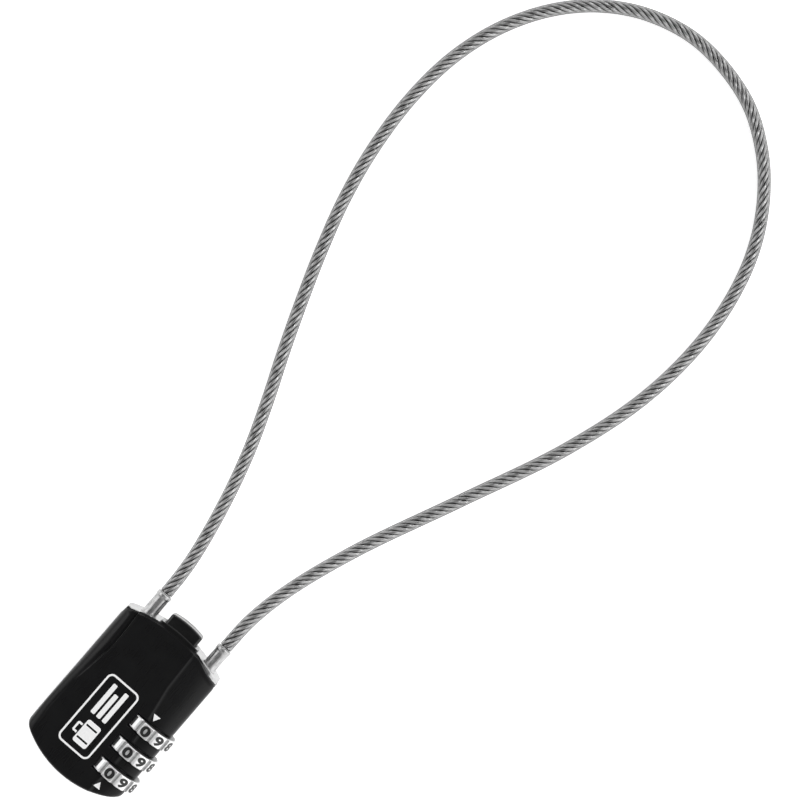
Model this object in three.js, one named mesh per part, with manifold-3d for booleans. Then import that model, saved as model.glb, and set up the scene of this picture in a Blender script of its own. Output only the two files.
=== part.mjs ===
// A three-dial cable luggage lock, lying on its back with its cable loop on the same surface.
// Millimetres. +X points to the dials' side, +Y along the lock towards the loop, +Z out of its front.
// The origin is the middle of the rear cover's flat back.
import * as THREE from "three";
import { mergeVertices } from "three/addons/utils/BufferGeometryUtils.js";
import Module from "manifold-3d";

const wasm = await Module();
wasm.setup();

// ---------------------------------------------------------------- driving dimensions

// Case: straight sides between an arched top and an arched bottom.
const HALF_WIDTH = 13.6;
const HALF_HEIGHT = 20.4;
const TOP_RADIUS = 35;
const BOTTOM_RADIUS = 25;
const CORNER_RADIUS = 2;
const FRONT_Z = 12.3;
const SIDE_Z = 8.2;
const PARTING_Z = 3.8;
const WALL = 1.15;
const FLOOR = 0.85;
const RIM_ROUND = 0.7;
const RIM_HEIGHT = 1.2;
const BACK_RIM_ROUND = 0.5;
const BACK_RIM_HEIGHT = 0.6;
const BACK_DROP = 1.2;
const CREASE_X = -10.1;
const RELIEF_DEPTH = 0.5;
const RELIEF_END_Y = -6;
const FAR = 30;

// Gaps: between pieces that sit together, and around pieces that run.
const GAP = 0.1;
const RUNNING_GAP = 0.3;

// End plate across the top of the case.
const PLATE_HALF_WIDTH = 13.45;
const PLATE_DEPTH = 2;
const PLATE_BACK_Z = 1.2;
const PLATE_FRONT_Z = 10.4;
const PLATE_EDGE_INSET = 0.3;
const BOSS_DROP = 0.4;

// Cable ends.
const CABLE_END_Z = 7.2;
const FERRULE_RADIUS = 1.75;
const ANCHOR_X = -8.6;
const ANCHOR_TOP_Y = 25.1;
const ANCHOR_FOOT_Y = 11.9;
const ANCHOR_BOSS_RADIUS = 2.9;
const ANCHOR_BOSS_FOOT_Y = 10.5;
const CROSS_PIN_Y = 14.5;
const CROSS_PIN_RADIUS = 0.6;
const CROSS_PIN_BACK_Z = 4.5;
const CROSS_PIN_FRONT_Z = 9.9;
const LIP_HEIGHT = 0.08;
const PLUG_X = 9.6;
const PLUG_TOP_Y = 24.5;
const PLUG_SHOULDER_Y = 16.7;
const PLUG_TIP_Y = 10.9;
const PLUG_PIN_RADIUS = 1.3;
const PLUG_GROOVE_RADIUS = 0.85;
const PLUG_BOSS_RADIUS = 2.7;
const PLUG_BOSS_FOOT_Y = 7.3;
const CLIP_Y = 13.2;
const CLIP_THICKNESS = 0.7;
const CLIP_BEND_X = 4.6;
const CLIP_END_X = 11.1;
const CLIP_LEG_WIDTH = 0.65;
const CLIP_SLOT_LEFT_X = 6;
const CLIP_SLOT_RIGHT_X = 11.4;
const CLIP_SLOT_HALF_HEIGHT = 1.9;

// Dials, on an axis along Y.
const DIAL_X = 8.74;
const DIAL_Z = 7.45;
const DIAL_MIDDLE_Y = -6.45;
const DIAL_PITCH = 6.15;
const DIAL_RADIUS = 6.25;
const DIAL_NOTCH_RADIUS = 5.75;
const DIAL_HALF_THICKNESS = 1.55;
const DIAL_POCKET_RADIUS = 6.55;
const DIAL_POCKET_HALF = 1.85;
const DIAL_BORE_RADIUS = 4;
const DIGITS = 10;
const DIAL_REST_TURN = 5 * (Math.PI / 180);
const HUB_HALF_LENGTH = 1.8;
const HUB_GROOVE_RADIUS = 2.8;
const LAND_LOW = -0.4;
const LAND_HIGH = 0.2;

// Spindle and what pushes it.
const SPINDLE_RADIUS = 1.2;
const SPINDLE_NECK_RADIUS = 0.65;
const SPINDLE_TOP_Y = 6.95;
const SPINDLE_FOOT_Y = -15;
const FIN_REACH = 2.5;
const FIN_HALF_WIDTH = 0.55;
const FIN_LOW = 0.55;
const FIN_THICKNESS = 0.8;
const FORK_Y = 5.5;
const FORK_THICKNESS = 0.8;

// Carriage that holds the dials.
const WEB_HALF_THICKNESS = 0.55;
const WEB_RIGHT_X = 12.1;
const LAST_WEB_RIGHT_X = 11;
const SPINE_LEFT_X = -0.6;
const SPINE_RIGHT_X = 0.8;
const CARRIAGE_BACK_Z = 1.3;
const CARRIAGE_FRONT_Z = 10.3;
const WEB_SHOULDER_Z = 7.8;
const WEB_SLOPE_Z = 9.4;
const WEB_SLOPE_X = 6;
const SHELF_LEFT_X = -3.2;
const SHELF_HEIGHT = 1.5;
const SHELF_BACK_Z = 3;
const SHELF_FRONT_Z = 10;
const RAIL_BACK_Z = 2.4;
const RAIL_FRONT_Z = 3.6;
const RAIL_SLOT_DEPTH = 0.4;

// Detent spring.
const DETENT_THICKNESS = 0.2;
const DETENT_KNEE_Z = 4.4;
const DETENT_TIP_Z = 9.4;
const DETENT_HALF_WIDTH = 1;

// Push button at the middle of the top.
const BUTTON_HALF_WIDTH = 4.4;
const BUTTON_BACK_Z = 5.3;
const BUTTON_FRONT_Z = 9.8;
const BUTTON_TOP_Y = 23.6;
const BUTTON_TOP_RADIUS = 20;
const BUTTON_FLANGE_Y = 16.1;
const BUTTON_FLANGE_THICKNESS = 1;
const BUTTON_FLANGE_HALF_WIDTH = 5;
const BUTTON_FLANGE_BACK_Z = 4.8;
const BUTTON_FLANGE_FRONT_Z = 10.2;
const BUTTON_STEM_FOOT_Y = 8.7;
const BUTTON_STEM_HALF_WIDTH = 1.6;
const BUTTON_STEM_BACK_Z = 6;
const BUTTON_STEM_FRONT_Z = 9;
const BEZEL_HALF_WIDTH = 5.3;
const BEZEL_FOOT_Y = 17.3;
const BEZEL_BACK_Z = 4.45;
const BEZEL_STAND = 0.5;

// Release slider, a bent plate behind the plug's boss.
const SLIDER_BACK_Z = 1.4;
const SLIDER_THICKNESS = 1.2;
const SLIDER_LEFT_X = -3;
const SLIDER_RIGHT_X = 10.6;
const SLIDER_TOP_Y = 8.6;
const FORK_LEFT_X = 6.9;
const FORK_FRONT_Z = 9.3;
const TAB_LEFT_X = -2.8;
const TAB_RIGHT_X = 2.6;
const TAB_THICKNESS = 0.9;
const TAB_FRONT_Z = 9;
const ARM_LEFT_X = 2.9;
const ARM_RIGHT_X = 4.2;
const ARM_TOP_Y = 15.6;
const RISER_THICKNESS = 1.3;
const RISER_FRONT_Z = 8;
const WEDGE_LEFT_X = 3;
const WEDGE_RIGHT_X = 5.6;
const WEDGE_TIP_Y = 14;
const WEDGE_TIP_HALF = 0.4;
const WEDGE_BASE_HALF = 0.8;

// Code-reset button in the bottom wall.
const RESET_X = -3.2;
const RESET_Z = 7;
const RESET_HEAD_RADIUS = 1;
const RESET_HOLE_RADIUS = 1.15;
const RESET_HEAD_Y = -20;
const RESET_FLANGE_Y = -18.6;
const RESET_FLANGE_RADIUS = 1.7;
const RESET_STEM_RADIUS = 0.6;
const RESET_STEM_TOP_Y = -12.2;
const RESET_FLANGE_THICKNESS = 0.7;
const RESET_LUG_Y = -13.6;
const RESET_LUG_REACH = 2;
const RESET_LUG_THICKNESS = 1;
const RESET_LUG_BACK_Z = 4;
const RESET_LUG_FRONT_Z = 9.8;

// Case screws, driven from the back.
const SCREW_PLACES = [
  [-9.5, 4.5],
  [-9.5, -10.5],
  [-4.2, -6.5],
];
const SCREW_HEAD_RADIUS = 1.55;
const SCREW_SHANK_RADIUS = 0.75;
const SCREW_HEAD_Z = 0.25;
const SCREW_HEAD_THICKNESS = 0.9;
const SCREW_TIP_Z = 8.4;
const SCREW_CROSS_REACH = 0.8;
const SCREW_CROSS_HALF = 0.18;
const SCREW_CROSS_DEPTH = 0.5;
const POST_RADIUS = 1.8;
const POST_FOOT_Z = 3.2;
const PAD_RADIUS = 2.4;
const PAD_FOOT_Z = 0.4;

// Coil springs: the coil's radius, its wire's radius, its length, its turns and the foot of its axis.
const BUTTON_SPRING = { radius: 1.35, wire: 0.2, length: 4.25, turns: 5, foot: [-1.3, 3.38, 6.2] };
const PLUG_SPRING = {
  radius: 0.85,
  wire: 0.15,
  length: 2.6,
  turns: 5,
  foot: [PLUG_X, PLUG_BOSS_FOOT_Y + 0.85, CABLE_END_Z],
};
const RESET_SPRING = {
  radius: 1.2,
  wire: 0.15,
  length: 4.2,
  turns: 6,
  foot: [RESET_X, RESET_FLANGE_Y + 0.75, RESET_Z],
};

// Cable: a wire rope in a clear jacket.
const CABLE_RADIUS = 1.5;
const CABLE_SIDES = 8;
const JACKET_BORE_RADIUS = 1.25;
const ROPE_RADIUS = 1.12;
const CABLE_STEPS = 66;
const CABLE_GAP = 0.3;
const LYING_Z = 1.52;

// How finely round shapes are cut.
const ARC_STEPS = 6;
const ROUND_SIDES = 32;
const SMALL_SIDES = 20;

// The cable's route from the fixed end, round the loop to the plug.
const CABLE_ROUTE = [
  [ANCHOR_X, ANCHOR_TOP_Y + CABLE_GAP, CABLE_END_Z],
  [-8.8, 31, 7.1],
  [-9.5, 37.2, 6.6],
  [-12.1, 49.8, 5.3],
  [-15.6, 61.9, 3.8],
  [-19.9, 73.2, 2.5],
  [-24.6, 84.4, 1.7],
  [-29, 95.8, LYING_Z],
  [-33.1, 107.4, LYING_Z],
  [-36.7, 119.5, LYING_Z],
  [-39.2, 132.5, LYING_Z],
  [-40.2, 146.8, LYING_Z],
  [-39, 160.4, LYING_Z],
  [-35.2, 172.7, LYING_Z],
  [-29.1, 183.2, LYING_Z],
  [-21, 191.5, LYING_Z],
  [-10.8, 197.3, LYING_Z],
  [2, 199.9, LYING_Z],
  [18, 197, LYING_Z],
  [28.4, 190.6, LYING_Z],
  [36.2, 182.2, LYING_Z],
  [42, 172, LYING_Z],
  [45.5, 159.9, LYING_Z],
  [46.7, 145.7, LYING_Z],
  [45, 129.1, LYING_Z],
  [39.1, 108.9, LYING_Z],
  [28.7, 84.8, 1.7],
  [17.8, 60.3, 3.5],
  [12, 43.6, 5.8],
  [9.9, 33, 6.9],
  [PLUG_X, PLUG_TOP_Y + CABLE_GAP, CABLE_END_Z],
];

// ---------------------------------------------------------------- making and cutting solids

// A closed geometry as a solid that can be joined and cut.
function solid(geometry) {
  const bare = geometry.clone();
  bare.deleteAttribute("normal");
  bare.deleteAttribute("uv");
  const merged = mergeVertices(bare, 1e-4);
  return new wasm.Manifold(
    new wasm.Mesh({
      numProp: 3,
      vertProperties: merged.attributes.position.array,
      triVerts: new Uint32Array(merged.index.array),
    }),
  );
}

function geometryOf(manifold) {
  const { vertProperties, triVerts } = manifold.getMesh();
  const geometry = new THREE.BufferGeometry();
  geometry.setAttribute("position", new THREE.BufferAttribute(vertProperties, 3));
  geometry.setIndex(new THREE.BufferAttribute(triVerts, 1));
  geometry.computeVertexNormals();
  return geometry;
}

function join(first, ...others) {
  return others.reduce((sum, other) => sum.add(other), first);
}

function cut(first, ...tools) {
  return tools.reduce((left, tool) => left.subtract(tool), first);
}

// A shape in X and Y, from z low to z high.
function alongZ(shape, low, high, bevel = {}) {
  const geometry = new THREE.ExtrudeGeometry(shape, {
    depth: high - low,
    bevelEnabled: false,
    curveSegments: ARC_STEPS,
    ...bevel,
  });
  geometry.translate(0, 0, low);
  return geometry;
}

// A shape drawn in X and Z, from y low to y high.
function alongY(shape, low, high) {
  const geometry = alongZ(shape, 0, high - low);
  geometry.rotateX(Math.PI / 2);
  geometry.translate(0, high, 0);
  return geometry;
}

// A shape drawn in Y and Z, from x low to x high.
function alongX(shape, low, high) {
  const geometry = alongZ(shape, low, high);
  const upright = new THREE.Matrix4().makeBasis(
    new THREE.Vector3(0, 1, 0),
    new THREE.Vector3(0, 0, 1),
    new THREE.Vector3(1, 0, 0),
  );
  geometry.applyMatrix4(upright);
  return geometry;
}

function box(lowX, highX, lowY, highY, lowZ, highZ) {
  const geometry = new THREE.BoxGeometry(highX - lowX, highY - lowY, highZ - lowZ);
  geometry.translate((lowX + highX) / 2, (lowY + highY) / 2, (lowZ + highZ) / 2);
  return geometry;
}

// A cylinder along Y.
function rodY(x, z, radius, low, high, sides = SMALL_SIDES) {
  const geometry = new THREE.CylinderGeometry(radius, radius, high - low, sides);
  geometry.translate(x, (low + high) / 2, z);
  return geometry;
}

// A cylinder along Z.
function rodZ(x, y, radius, low, high, sides = SMALL_SIDES) {
  const geometry = new THREE.CylinderGeometry(radius, radius, high - low, sides);
  geometry.rotateX(Math.PI / 2);
  geometry.translate(x, y, (low + high) / 2);
  return geometry;
}

// A profile of [radius, height] points turned about Y, listed from the foot up.
function turned(profile, sides = SMALL_SIDES) {
  const points = profile.map(([radius, y]) => new THREE.Vector2(radius, y));
  return new THREE.LatheGeometry(points, sides);
}

function polygon(points) {
  return new THREE.Shape(points.map(([x, y]) => new THREE.Vector2(x, y)));
}

function roundedRectangle(lowX, highX, lowY, highY, radius) {
  const shape = new THREE.Shape();
  shape.absarc(highX - radius, highY - radius, radius, 0, Math.PI / 2);
  shape.absarc(lowX + radius, highY - radius, radius, Math.PI / 2, Math.PI);
  shape.absarc(lowX + radius, lowY + radius, radius, Math.PI, Math.PI * 1.5);
  shape.absarc(highX - radius, lowY + radius, radius, Math.PI * 1.5, Math.PI * 2);
  return shape;
}

// A coil spring along Y, its two end turns closed up.
class Coil extends THREE.Curve {
  constructor(radius, length, turns) {
    super();
    Object.assign(this, { radius, length, turns });
  }
  getPoint(t, target = new THREE.Vector3()) {
    const angle = t * this.turns * 2 * Math.PI;
    const climb = t - Math.sin(4 * Math.PI * t) / (6 * Math.PI);
    const height = climb * this.length;
    return target.set(this.radius * Math.cos(angle), height, this.radius * Math.sin(angle));
  }
}

function coilSpring({ radius, wire, length, turns }) {
  const sides = 6;
  const stepsPerTurn = 12;
  const geometry = new THREE.ExtrudeGeometry(polygonOf(wire, sides), {
    steps: turns * stepsPerTurn,
    extrudePath: new Coil(radius, length - 2 * wire, turns),
    bevelEnabled: false,
  });
  geometry.translate(0, wire, 0);
  return geometry;
}

function polygonOf(radius, sides) {
  const corners = [];
  for (let i = 0; i < sides; i++) {
    const angle = (i / sides) * 2 * Math.PI;
    corners.push([radius * Math.cos(angle), radius * Math.sin(angle)]);
  }
  return polygon(corners);
}

// ---------------------------------------------------------------- materials

function material(color, roughness, metalness) {
  return new THREE.MeshStandardMaterial({ color, roughness, metalness });
}

const blackCase = material(0x1c1c1d, 0.35, 0.1);
const blackPlastic = material(0x101011, 0.3, 0);
const castZinc = material(0xa9abae, 0.4, 1);
const dialMetal = material(0xb9bbbd, 0.35, 1);
const turnedSteel = material(0xb0b2b5, 0.3, 1);
const springSteel = material(0x8d9094, 0.35, 1);
const clearJacket = material(0xd5d8da, 0.2, 0);
const wireRope = material(0x9b9ea1, 0.4, 1);

const lock = new THREE.Group();

function add(name, look, shape, place = [0, 0, 0]) {
  const geometry = shape.isBufferGeometry ? shape : geometryOf(shape);
  const mesh = new THREE.Mesh(geometry, look.clone());
  mesh.name = name;
  mesh.position.set(...place);
  lock.add(mesh);
}

// ---------------------------------------------------------------- case

// The case seen from the front, drawn in by inset.
function caseOutline(inset) {
  const side = HALF_WIDTH - inset;
  const topRadius = TOP_RADIUS - inset;
  const bottomRadius = BOTTOM_RADIUS - inset;
  const bottomCentre = BOTTOM_RADIUS - HALF_HEIGHT;
  const corner = CORNER_RADIUS - inset;
  const cornerX = side - corner;
  const cornerY = bottomCentre - Math.sqrt((bottomRadius - corner) ** 2 - cornerX ** 2);
  const topAngle = Math.acos(side / topRadius);
  const cornerAngle = -Math.atan2(cornerY - bottomCentre, cornerX);
  const shape = new THREE.Shape();
  shape.absarc(0, HALF_HEIGHT - TOP_RADIUS, topRadius, topAngle, Math.PI - topAngle);
  shape.absarc(-cornerX, cornerY, corner, Math.PI, Math.PI + cornerAngle);
  shape.absarc(0, bottomCentre, bottomRadius, Math.PI + cornerAngle, 2 * Math.PI - cornerAngle);
  shape.absarc(cornerX, cornerY, corner, 2 * Math.PI - cornerAngle, 2 * Math.PI);
  return shape;
}

// Everything above a line that lies drop below the case's arched top.
function aboveArch(drop) {
  const radius = TOP_RADIUS - drop;
  const reach = HALF_WIDTH + 1;
  const angle = Math.acos(reach / radius);
  const shape = new THREE.Shape();
  shape.absarc(0, HALF_HEIGHT - TOP_RADIUS, radius, Math.PI - angle, angle, true);
  shape.lineTo(reach, FAR);
  shape.lineTo(-reach, FAR);
  return shape;
}

// The case seen from its end, drawn in by inset: a nearly flat panel between two falling flanks.
function caseSection(inset) {
  const side = HALF_WIDTH + 0.15 - inset;
  const top = FRONT_Z - inset;
  const sideTop = SIDE_Z - inset;
  const shape = new THREE.Shape();
  shape.moveTo(-side, -FAR);
  shape.lineTo(side, -FAR);
  shape.lineTo(side, sideTop);
  shape.bezierCurveTo(side, top - 0.9, 9, top - 0.55, 5.4, top - 0.1);
  shape.quadraticCurveTo(0, top + 0.05, CREASE_X, top - 0.35);
  shape.bezierCurveTo(-12, top - 0.75, -side, top - 1.6, -side, sideTop);
  return shape;
}

// What is cut from above the left flank: deepest at the top, running out down the case.
function flankRelief() {
  const side = HALF_WIDTH + 1;
  const top = FRONT_Z - 0.35 - RELIEF_DEPTH;
  const shape = new THREE.Shape();
  shape.moveTo(CREASE_X, FRONT_Z + 2);
  shape.lineTo(CREASE_X, top);
  shape.bezierCurveTo(-12, top - 0.4, -HALF_WIDTH, top - 1.25, -HALF_WIDTH, SIDE_Z - RELIEF_DEPTH);
  shape.lineTo(-side, SIDE_Z - RELIEF_DEPTH);
  shape.lineTo(-side, FRONT_Z + 2);
  const geometry = alongY(shape, -FAR, 0);
  geometry.rotateX(-Math.atan(RELIEF_DEPTH / (HALF_HEIGHT - RELIEF_END_Y)));
  geometry.translate(0, HALF_HEIGHT, 0);
  return solid(geometry);
}

function dialCentres() {
  return [1, 0, -1].map((step) => DIAL_MIDDLE_Y + step * DIAL_PITCH);
}

// The room a dial turns in, open through the front and the right side.
function dialPockets() {
  const pockets = dialCentres().map((y) =>
    solid(
      rodY(DIAL_X, DIAL_Z, DIAL_POCKET_RADIUS, y - DIAL_POCKET_HALF, y + DIAL_POCKET_HALF, 64),
    ),
  );
  return join(...pockets);
}

function caseCavity() {
  const plan = solid(alongZ(caseOutline(WALL), FLOOR, FRONT_Z));
  return plan.intersect(solid(alongY(caseSection(WALL), -FAR, FAR)));
}

function frontCase() {
  const rim = {
    bevelEnabled: true,
    bevelThickness: RIM_HEIGHT,
    bevelSize: RIM_ROUND,
    bevelOffset: -RIM_ROUND,
    bevelSegments: 3,
  };
  const plan = solid(alongZ(caseOutline(0), -2, FRONT_Z - RIM_HEIGHT, rim));
  const section = solid(alongY(caseSection(0), -FAR, FAR));
  const outer = plan.intersect(section).subtract(flankRelief());
  const upper = solid(box(-FAR, FAR, -FAR, FAR, PARTING_Z, FAR));
  const plateRoom = solid(
    alongZ(aboveArch(PLATE_DEPTH + GAP), -1, PLATE_FRONT_Z + RUNNING_GAP),
  );
  const resetHole = solid(rodY(RESET_X, RESET_Z, RESET_HOLE_RADIUS, -HALF_HEIGHT - 1, -18));
  const shell = cut(outer.intersect(upper), caseCavity(), plateRoom, resetHole);
  const posts = SCREW_PLACES.map(([x, y]) =>
    solid(rodZ(x, y, POST_RADIUS, POST_FOOT_Z, FAR)).intersect(outer),
  );
  const holes = SCREW_PLACES.map(([x, y]) =>
    solid(rodZ(x, y, SCREW_SHANK_RADIUS + 0.05, 0, SCREW_TIP_Z + 0.5)),
  );
  return cut(join(shell, ...posts), dialPockets(), ...holes);
}

function rearCover() {
  const rim = {
    bevelEnabled: true,
    bevelThickness: BACK_RIM_HEIGHT,
    bevelSize: BACK_RIM_ROUND,
    bevelOffset: -BACK_RIM_ROUND,
    bevelSegments: 3,
  };
  const plan = solid(alongZ(caseOutline(0), BACK_RIM_HEIGHT, FRONT_Z, rim));
  const lower = solid(box(-FAR, FAR, -FAR, FAR, -1, PARTING_Z - GAP));
  const plateRoom = solid(alongZ(aboveArch(PLATE_DEPTH + GAP), FLOOR, FAR));
  const lowTop = solid(alongZ(aboveArch(BACK_DROP), -1, FAR));
  const shell = cut(plan.intersect(lower), caseCavity(), plateRoom, lowTop);
  const pads = SCREW_PLACES.map(([x, y]) =>
    solid(rodZ(x, y, PAD_RADIUS, PAD_FOOT_Z, POST_FOOT_Z - GAP)),
  );
  const heads = SCREW_PLACES.map(([x, y]) =>
    solid(rodZ(x, y, SCREW_HEAD_RADIUS + GAP, -1, SCREW_HEAD_Z + SCREW_HEAD_THICKNESS + GAP)),
  );
  const shanks = SCREW_PLACES.map(([x, y]) =>
    solid(rodZ(x, y, SCREW_SHANK_RADIUS + GAP, -1, PARTING_Z)),
  );
  return cut(join(shell, ...pads), dialPockets(), ...heads, ...shanks);
}

// ---------------------------------------------------------------- end plate with the cable bosses

function lockFrame() {
  const angle = Math.asin(PLATE_HALF_WIDTH / TOP_RADIUS);
  const quarter = Math.PI / 2;
  const centre = HALF_HEIGHT - TOP_RADIUS;
  const strip = new THREE.Shape();
  strip.absarc(0, centre, TOP_RADIUS, quarter - angle, quarter + angle);
  strip.absarc(0, centre, TOP_RADIUS - PLATE_DEPTH, quarter + angle, quarter - angle, true);
  const section = solid(alongY(caseSection(PLATE_EDGE_INSET), -FAR, FAR));
  const plate = solid(alongZ(strip, PLATE_BACK_Z, PLATE_FRONT_Z)).intersect(section);
  const notchHalf = BEZEL_HALF_WIDTH + GAP;
  const notch = solid(box(-notchHalf, notchHalf, 10, FAR, BEZEL_BACK_Z - GAP, FAR));
  const bossTop = HALF_HEIGHT - PLATE_DEPTH - BOSS_DROP;
  const anchorBoss = solid(
    rodY(ANCHOR_X, CABLE_END_Z, ANCHOR_BOSS_RADIUS, ANCHOR_BOSS_FOOT_Y, bossTop, ROUND_SIDES),
  );
  const plugBoss = solid(
    rodY(PLUG_X, CABLE_END_Z, PLUG_BOSS_RADIUS, PLUG_BOSS_FOOT_Y, bossTop, ROUND_SIDES),
  );
  const anchorBore = solid(
    rodY(ANCHOR_X, CABLE_END_Z, FERRULE_RADIUS + GAP, ANCHOR_FOOT_Y - GAP, FAR, ROUND_SIDES),
  );
  const plugBore = solid(
    rodY(PLUG_X, CABLE_END_Z, FERRULE_RADIUS + GAP, PLUG_SHOULDER_Y - GAP, FAR, ROUND_SIDES),
  );
  const pinBore = solid(
    rodY(PLUG_X, CABLE_END_Z, PLUG_PIN_RADIUS + GAP, PLUG_BOSS_FOOT_Y + 0.8, FAR, ROUND_SIDES),
  );
  const crossBore = solid(rodZ(ANCHOR_X, CROSS_PIN_Y, CROSS_PIN_RADIUS + 0.05, 0, FAR));
  const slotHalf = CLIP_THICKNESS / 2 + 0.15;
  const clipSlot = solid(
    box(
      CLIP_SLOT_LEFT_X,
      CLIP_SLOT_RIGHT_X,
      CLIP_Y - slotHalf,
      CLIP_Y + slotHalf,
      CABLE_END_Z - CLIP_SLOT_HALF_HEIGHT,
      CABLE_END_Z + CLIP_SLOT_HALF_HEIGHT,
    ),
  );
  const body = join(plate, anchorBoss, plugBoss);
  return cut(body, notch, anchorBore, plugBore, pinBore, crossBore, clipSlot);
}

// ---------------------------------------------------------------- cable ends

function anchorFerrule() {
  const radius = FERRULE_RADIUS;
  const barrel = solid(
    turned(
      [
        [0, ANCHOR_FOOT_Y],
        [radius - 0.2, ANCHOR_FOOT_Y],
        [radius, ANCHOR_FOOT_Y + 0.3],
        [radius, ANCHOR_TOP_Y - 0.9],
        [radius + LIP_HEIGHT, ANCHOR_TOP_Y - 0.8],
        [radius + LIP_HEIGHT, ANCHOR_TOP_Y - 0.15],
        [radius - 0.1, ANCHOR_TOP_Y],
        [0, ANCHOR_TOP_Y],
      ],
      ROUND_SIDES,
    ),
  );
  const hole = solid(rodZ(0, CROSS_PIN_Y, CROSS_PIN_RADIUS + 0.05, -3, 3));
  return barrel.subtract(hole);
}

function lockingPlug() {
  const radius = FERRULE_RADIUS;
  const grooveHalf = CLIP_THICKNESS / 2 + 0.25;
  return turned(
    [
      [0, PLUG_TIP_Y],
      [PLUG_PIN_RADIUS - 0.5, PLUG_TIP_Y],
      [PLUG_PIN_RADIUS, PLUG_TIP_Y + 0.6],
      [PLUG_PIN_RADIUS, CLIP_Y - grooveHalf],
      [PLUG_GROOVE_RADIUS, CLIP_Y - grooveHalf],
      [PLUG_GROOVE_RADIUS, CLIP_Y + grooveHalf],
      [PLUG_PIN_RADIUS, CLIP_Y + grooveHalf],
      [PLUG_PIN_RADIUS, PLUG_SHOULDER_Y],
      [radius, PLUG_SHOULDER_Y],
      [radius, PLUG_TOP_Y - 0.9],
      [radius + LIP_HEIGHT, PLUG_TOP_Y - 0.8],
      [radius + LIP_HEIGHT, PLUG_TOP_Y - 0.15],
      [radius - 0.1, PLUG_TOP_Y],
      [0, PLUG_TOP_Y],
    ],
    ROUND_SIDES,
  );
}

// A flat spring hairpin whose legs sit in the plug's groove.
function latchClip() {
  const inner = PLUG_GROOVE_RADIUS + 0.07;
  const outer = inner + CLIP_LEG_WIDTH;
  const bend = CLIP_BEND_X + outer;
  const quarter = Math.PI / 2;
  const shape = new THREE.Shape();
  shape.absarc(bend, 0, outer, quarter, 3 * quarter);
  shape.lineTo(CLIP_END_X, -outer);
  shape.lineTo(CLIP_END_X, -inner);
  shape.absarc(bend, 0, inner, 3 * quarter, quarter, true);
  shape.lineTo(CLIP_END_X, inner);
  shape.lineTo(CLIP_END_X, outer);
  const half = CLIP_THICKNESS / 2;
  const geometry = alongY(shape, CLIP_Y - half, CLIP_Y + half);
  geometry.translate(0, 0, CABLE_END_Z);
  return geometry;
}

// ---------------------------------------------------------------- push button and release slider

// Everything below an arch over x = 0, down to a flat foot.
function archedBlock(halfWidth, foot, top, radius) {
  const angle = Math.asin(halfWidth / radius);
  const quarter = Math.PI / 2;
  const shape = new THREE.Shape();
  shape.moveTo(-halfWidth, foot);
  shape.lineTo(halfWidth, foot);
  shape.absarc(0, top - radius, radius, quarter - angle, quarter + angle);
  return shape;
}

function buttonBezel() {
  const top = HALF_HEIGHT + BEZEL_STAND;
  const block = solid(
    alongZ(
      archedBlock(BEZEL_HALF_WIDTH, BEZEL_FOOT_Y, top, TOP_RADIUS + BEZEL_STAND),
      BEZEL_BACK_Z,
      PLATE_FRONT_Z,
    ),
  );
  const half = BUTTON_HALF_WIDTH + GAP;
  const window = roundedRectangle(-half, half, BUTTON_BACK_Z - GAP, BUTTON_FRONT_Z + GAP, 0.6);
  return block.subtract(solid(alongY(window, 10, FAR)));
}

function pushButton() {
  const head = solid(
    alongZ(
      archedBlock(BUTTON_HALF_WIDTH, BUTTON_FLANGE_Y, BUTTON_TOP_Y, BUTTON_TOP_RADIUS),
      BUTTON_BACK_Z,
      BUTTON_FRONT_Z,
    ),
  );
  const corners = roundedRectangle(
    -BUTTON_HALF_WIDTH,
    BUTTON_HALF_WIDTH,
    BUTTON_BACK_Z,
    BUTTON_FRONT_Z,
    0.5,
  );
  const rounded = head.intersect(solid(alongY(corners, 0, FAR)));
  const flangeTop = BUTTON_FLANGE_Y + BUTTON_FLANGE_THICKNESS;
  const flange = solid(
    box(
      -BUTTON_FLANGE_HALF_WIDTH,
      BUTTON_FLANGE_HALF_WIDTH,
      BUTTON_FLANGE_Y,
      flangeTop,
      BUTTON_FLANGE_BACK_Z,
      BUTTON_FLANGE_FRONT_Z,
    ),
  );
  const stem = solid(
    box(
      -BUTTON_STEM_HALF_WIDTH,
      BUTTON_STEM_HALF_WIDTH,
      BUTTON_STEM_FOOT_Y,
      flangeTop - BUTTON_FLANGE_THICKNESS / 2,
      BUTTON_STEM_BACK_Z,
      BUTTON_STEM_FRONT_Z,
    ),
  );
  return join(rounded, flange, stem);
}

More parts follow.
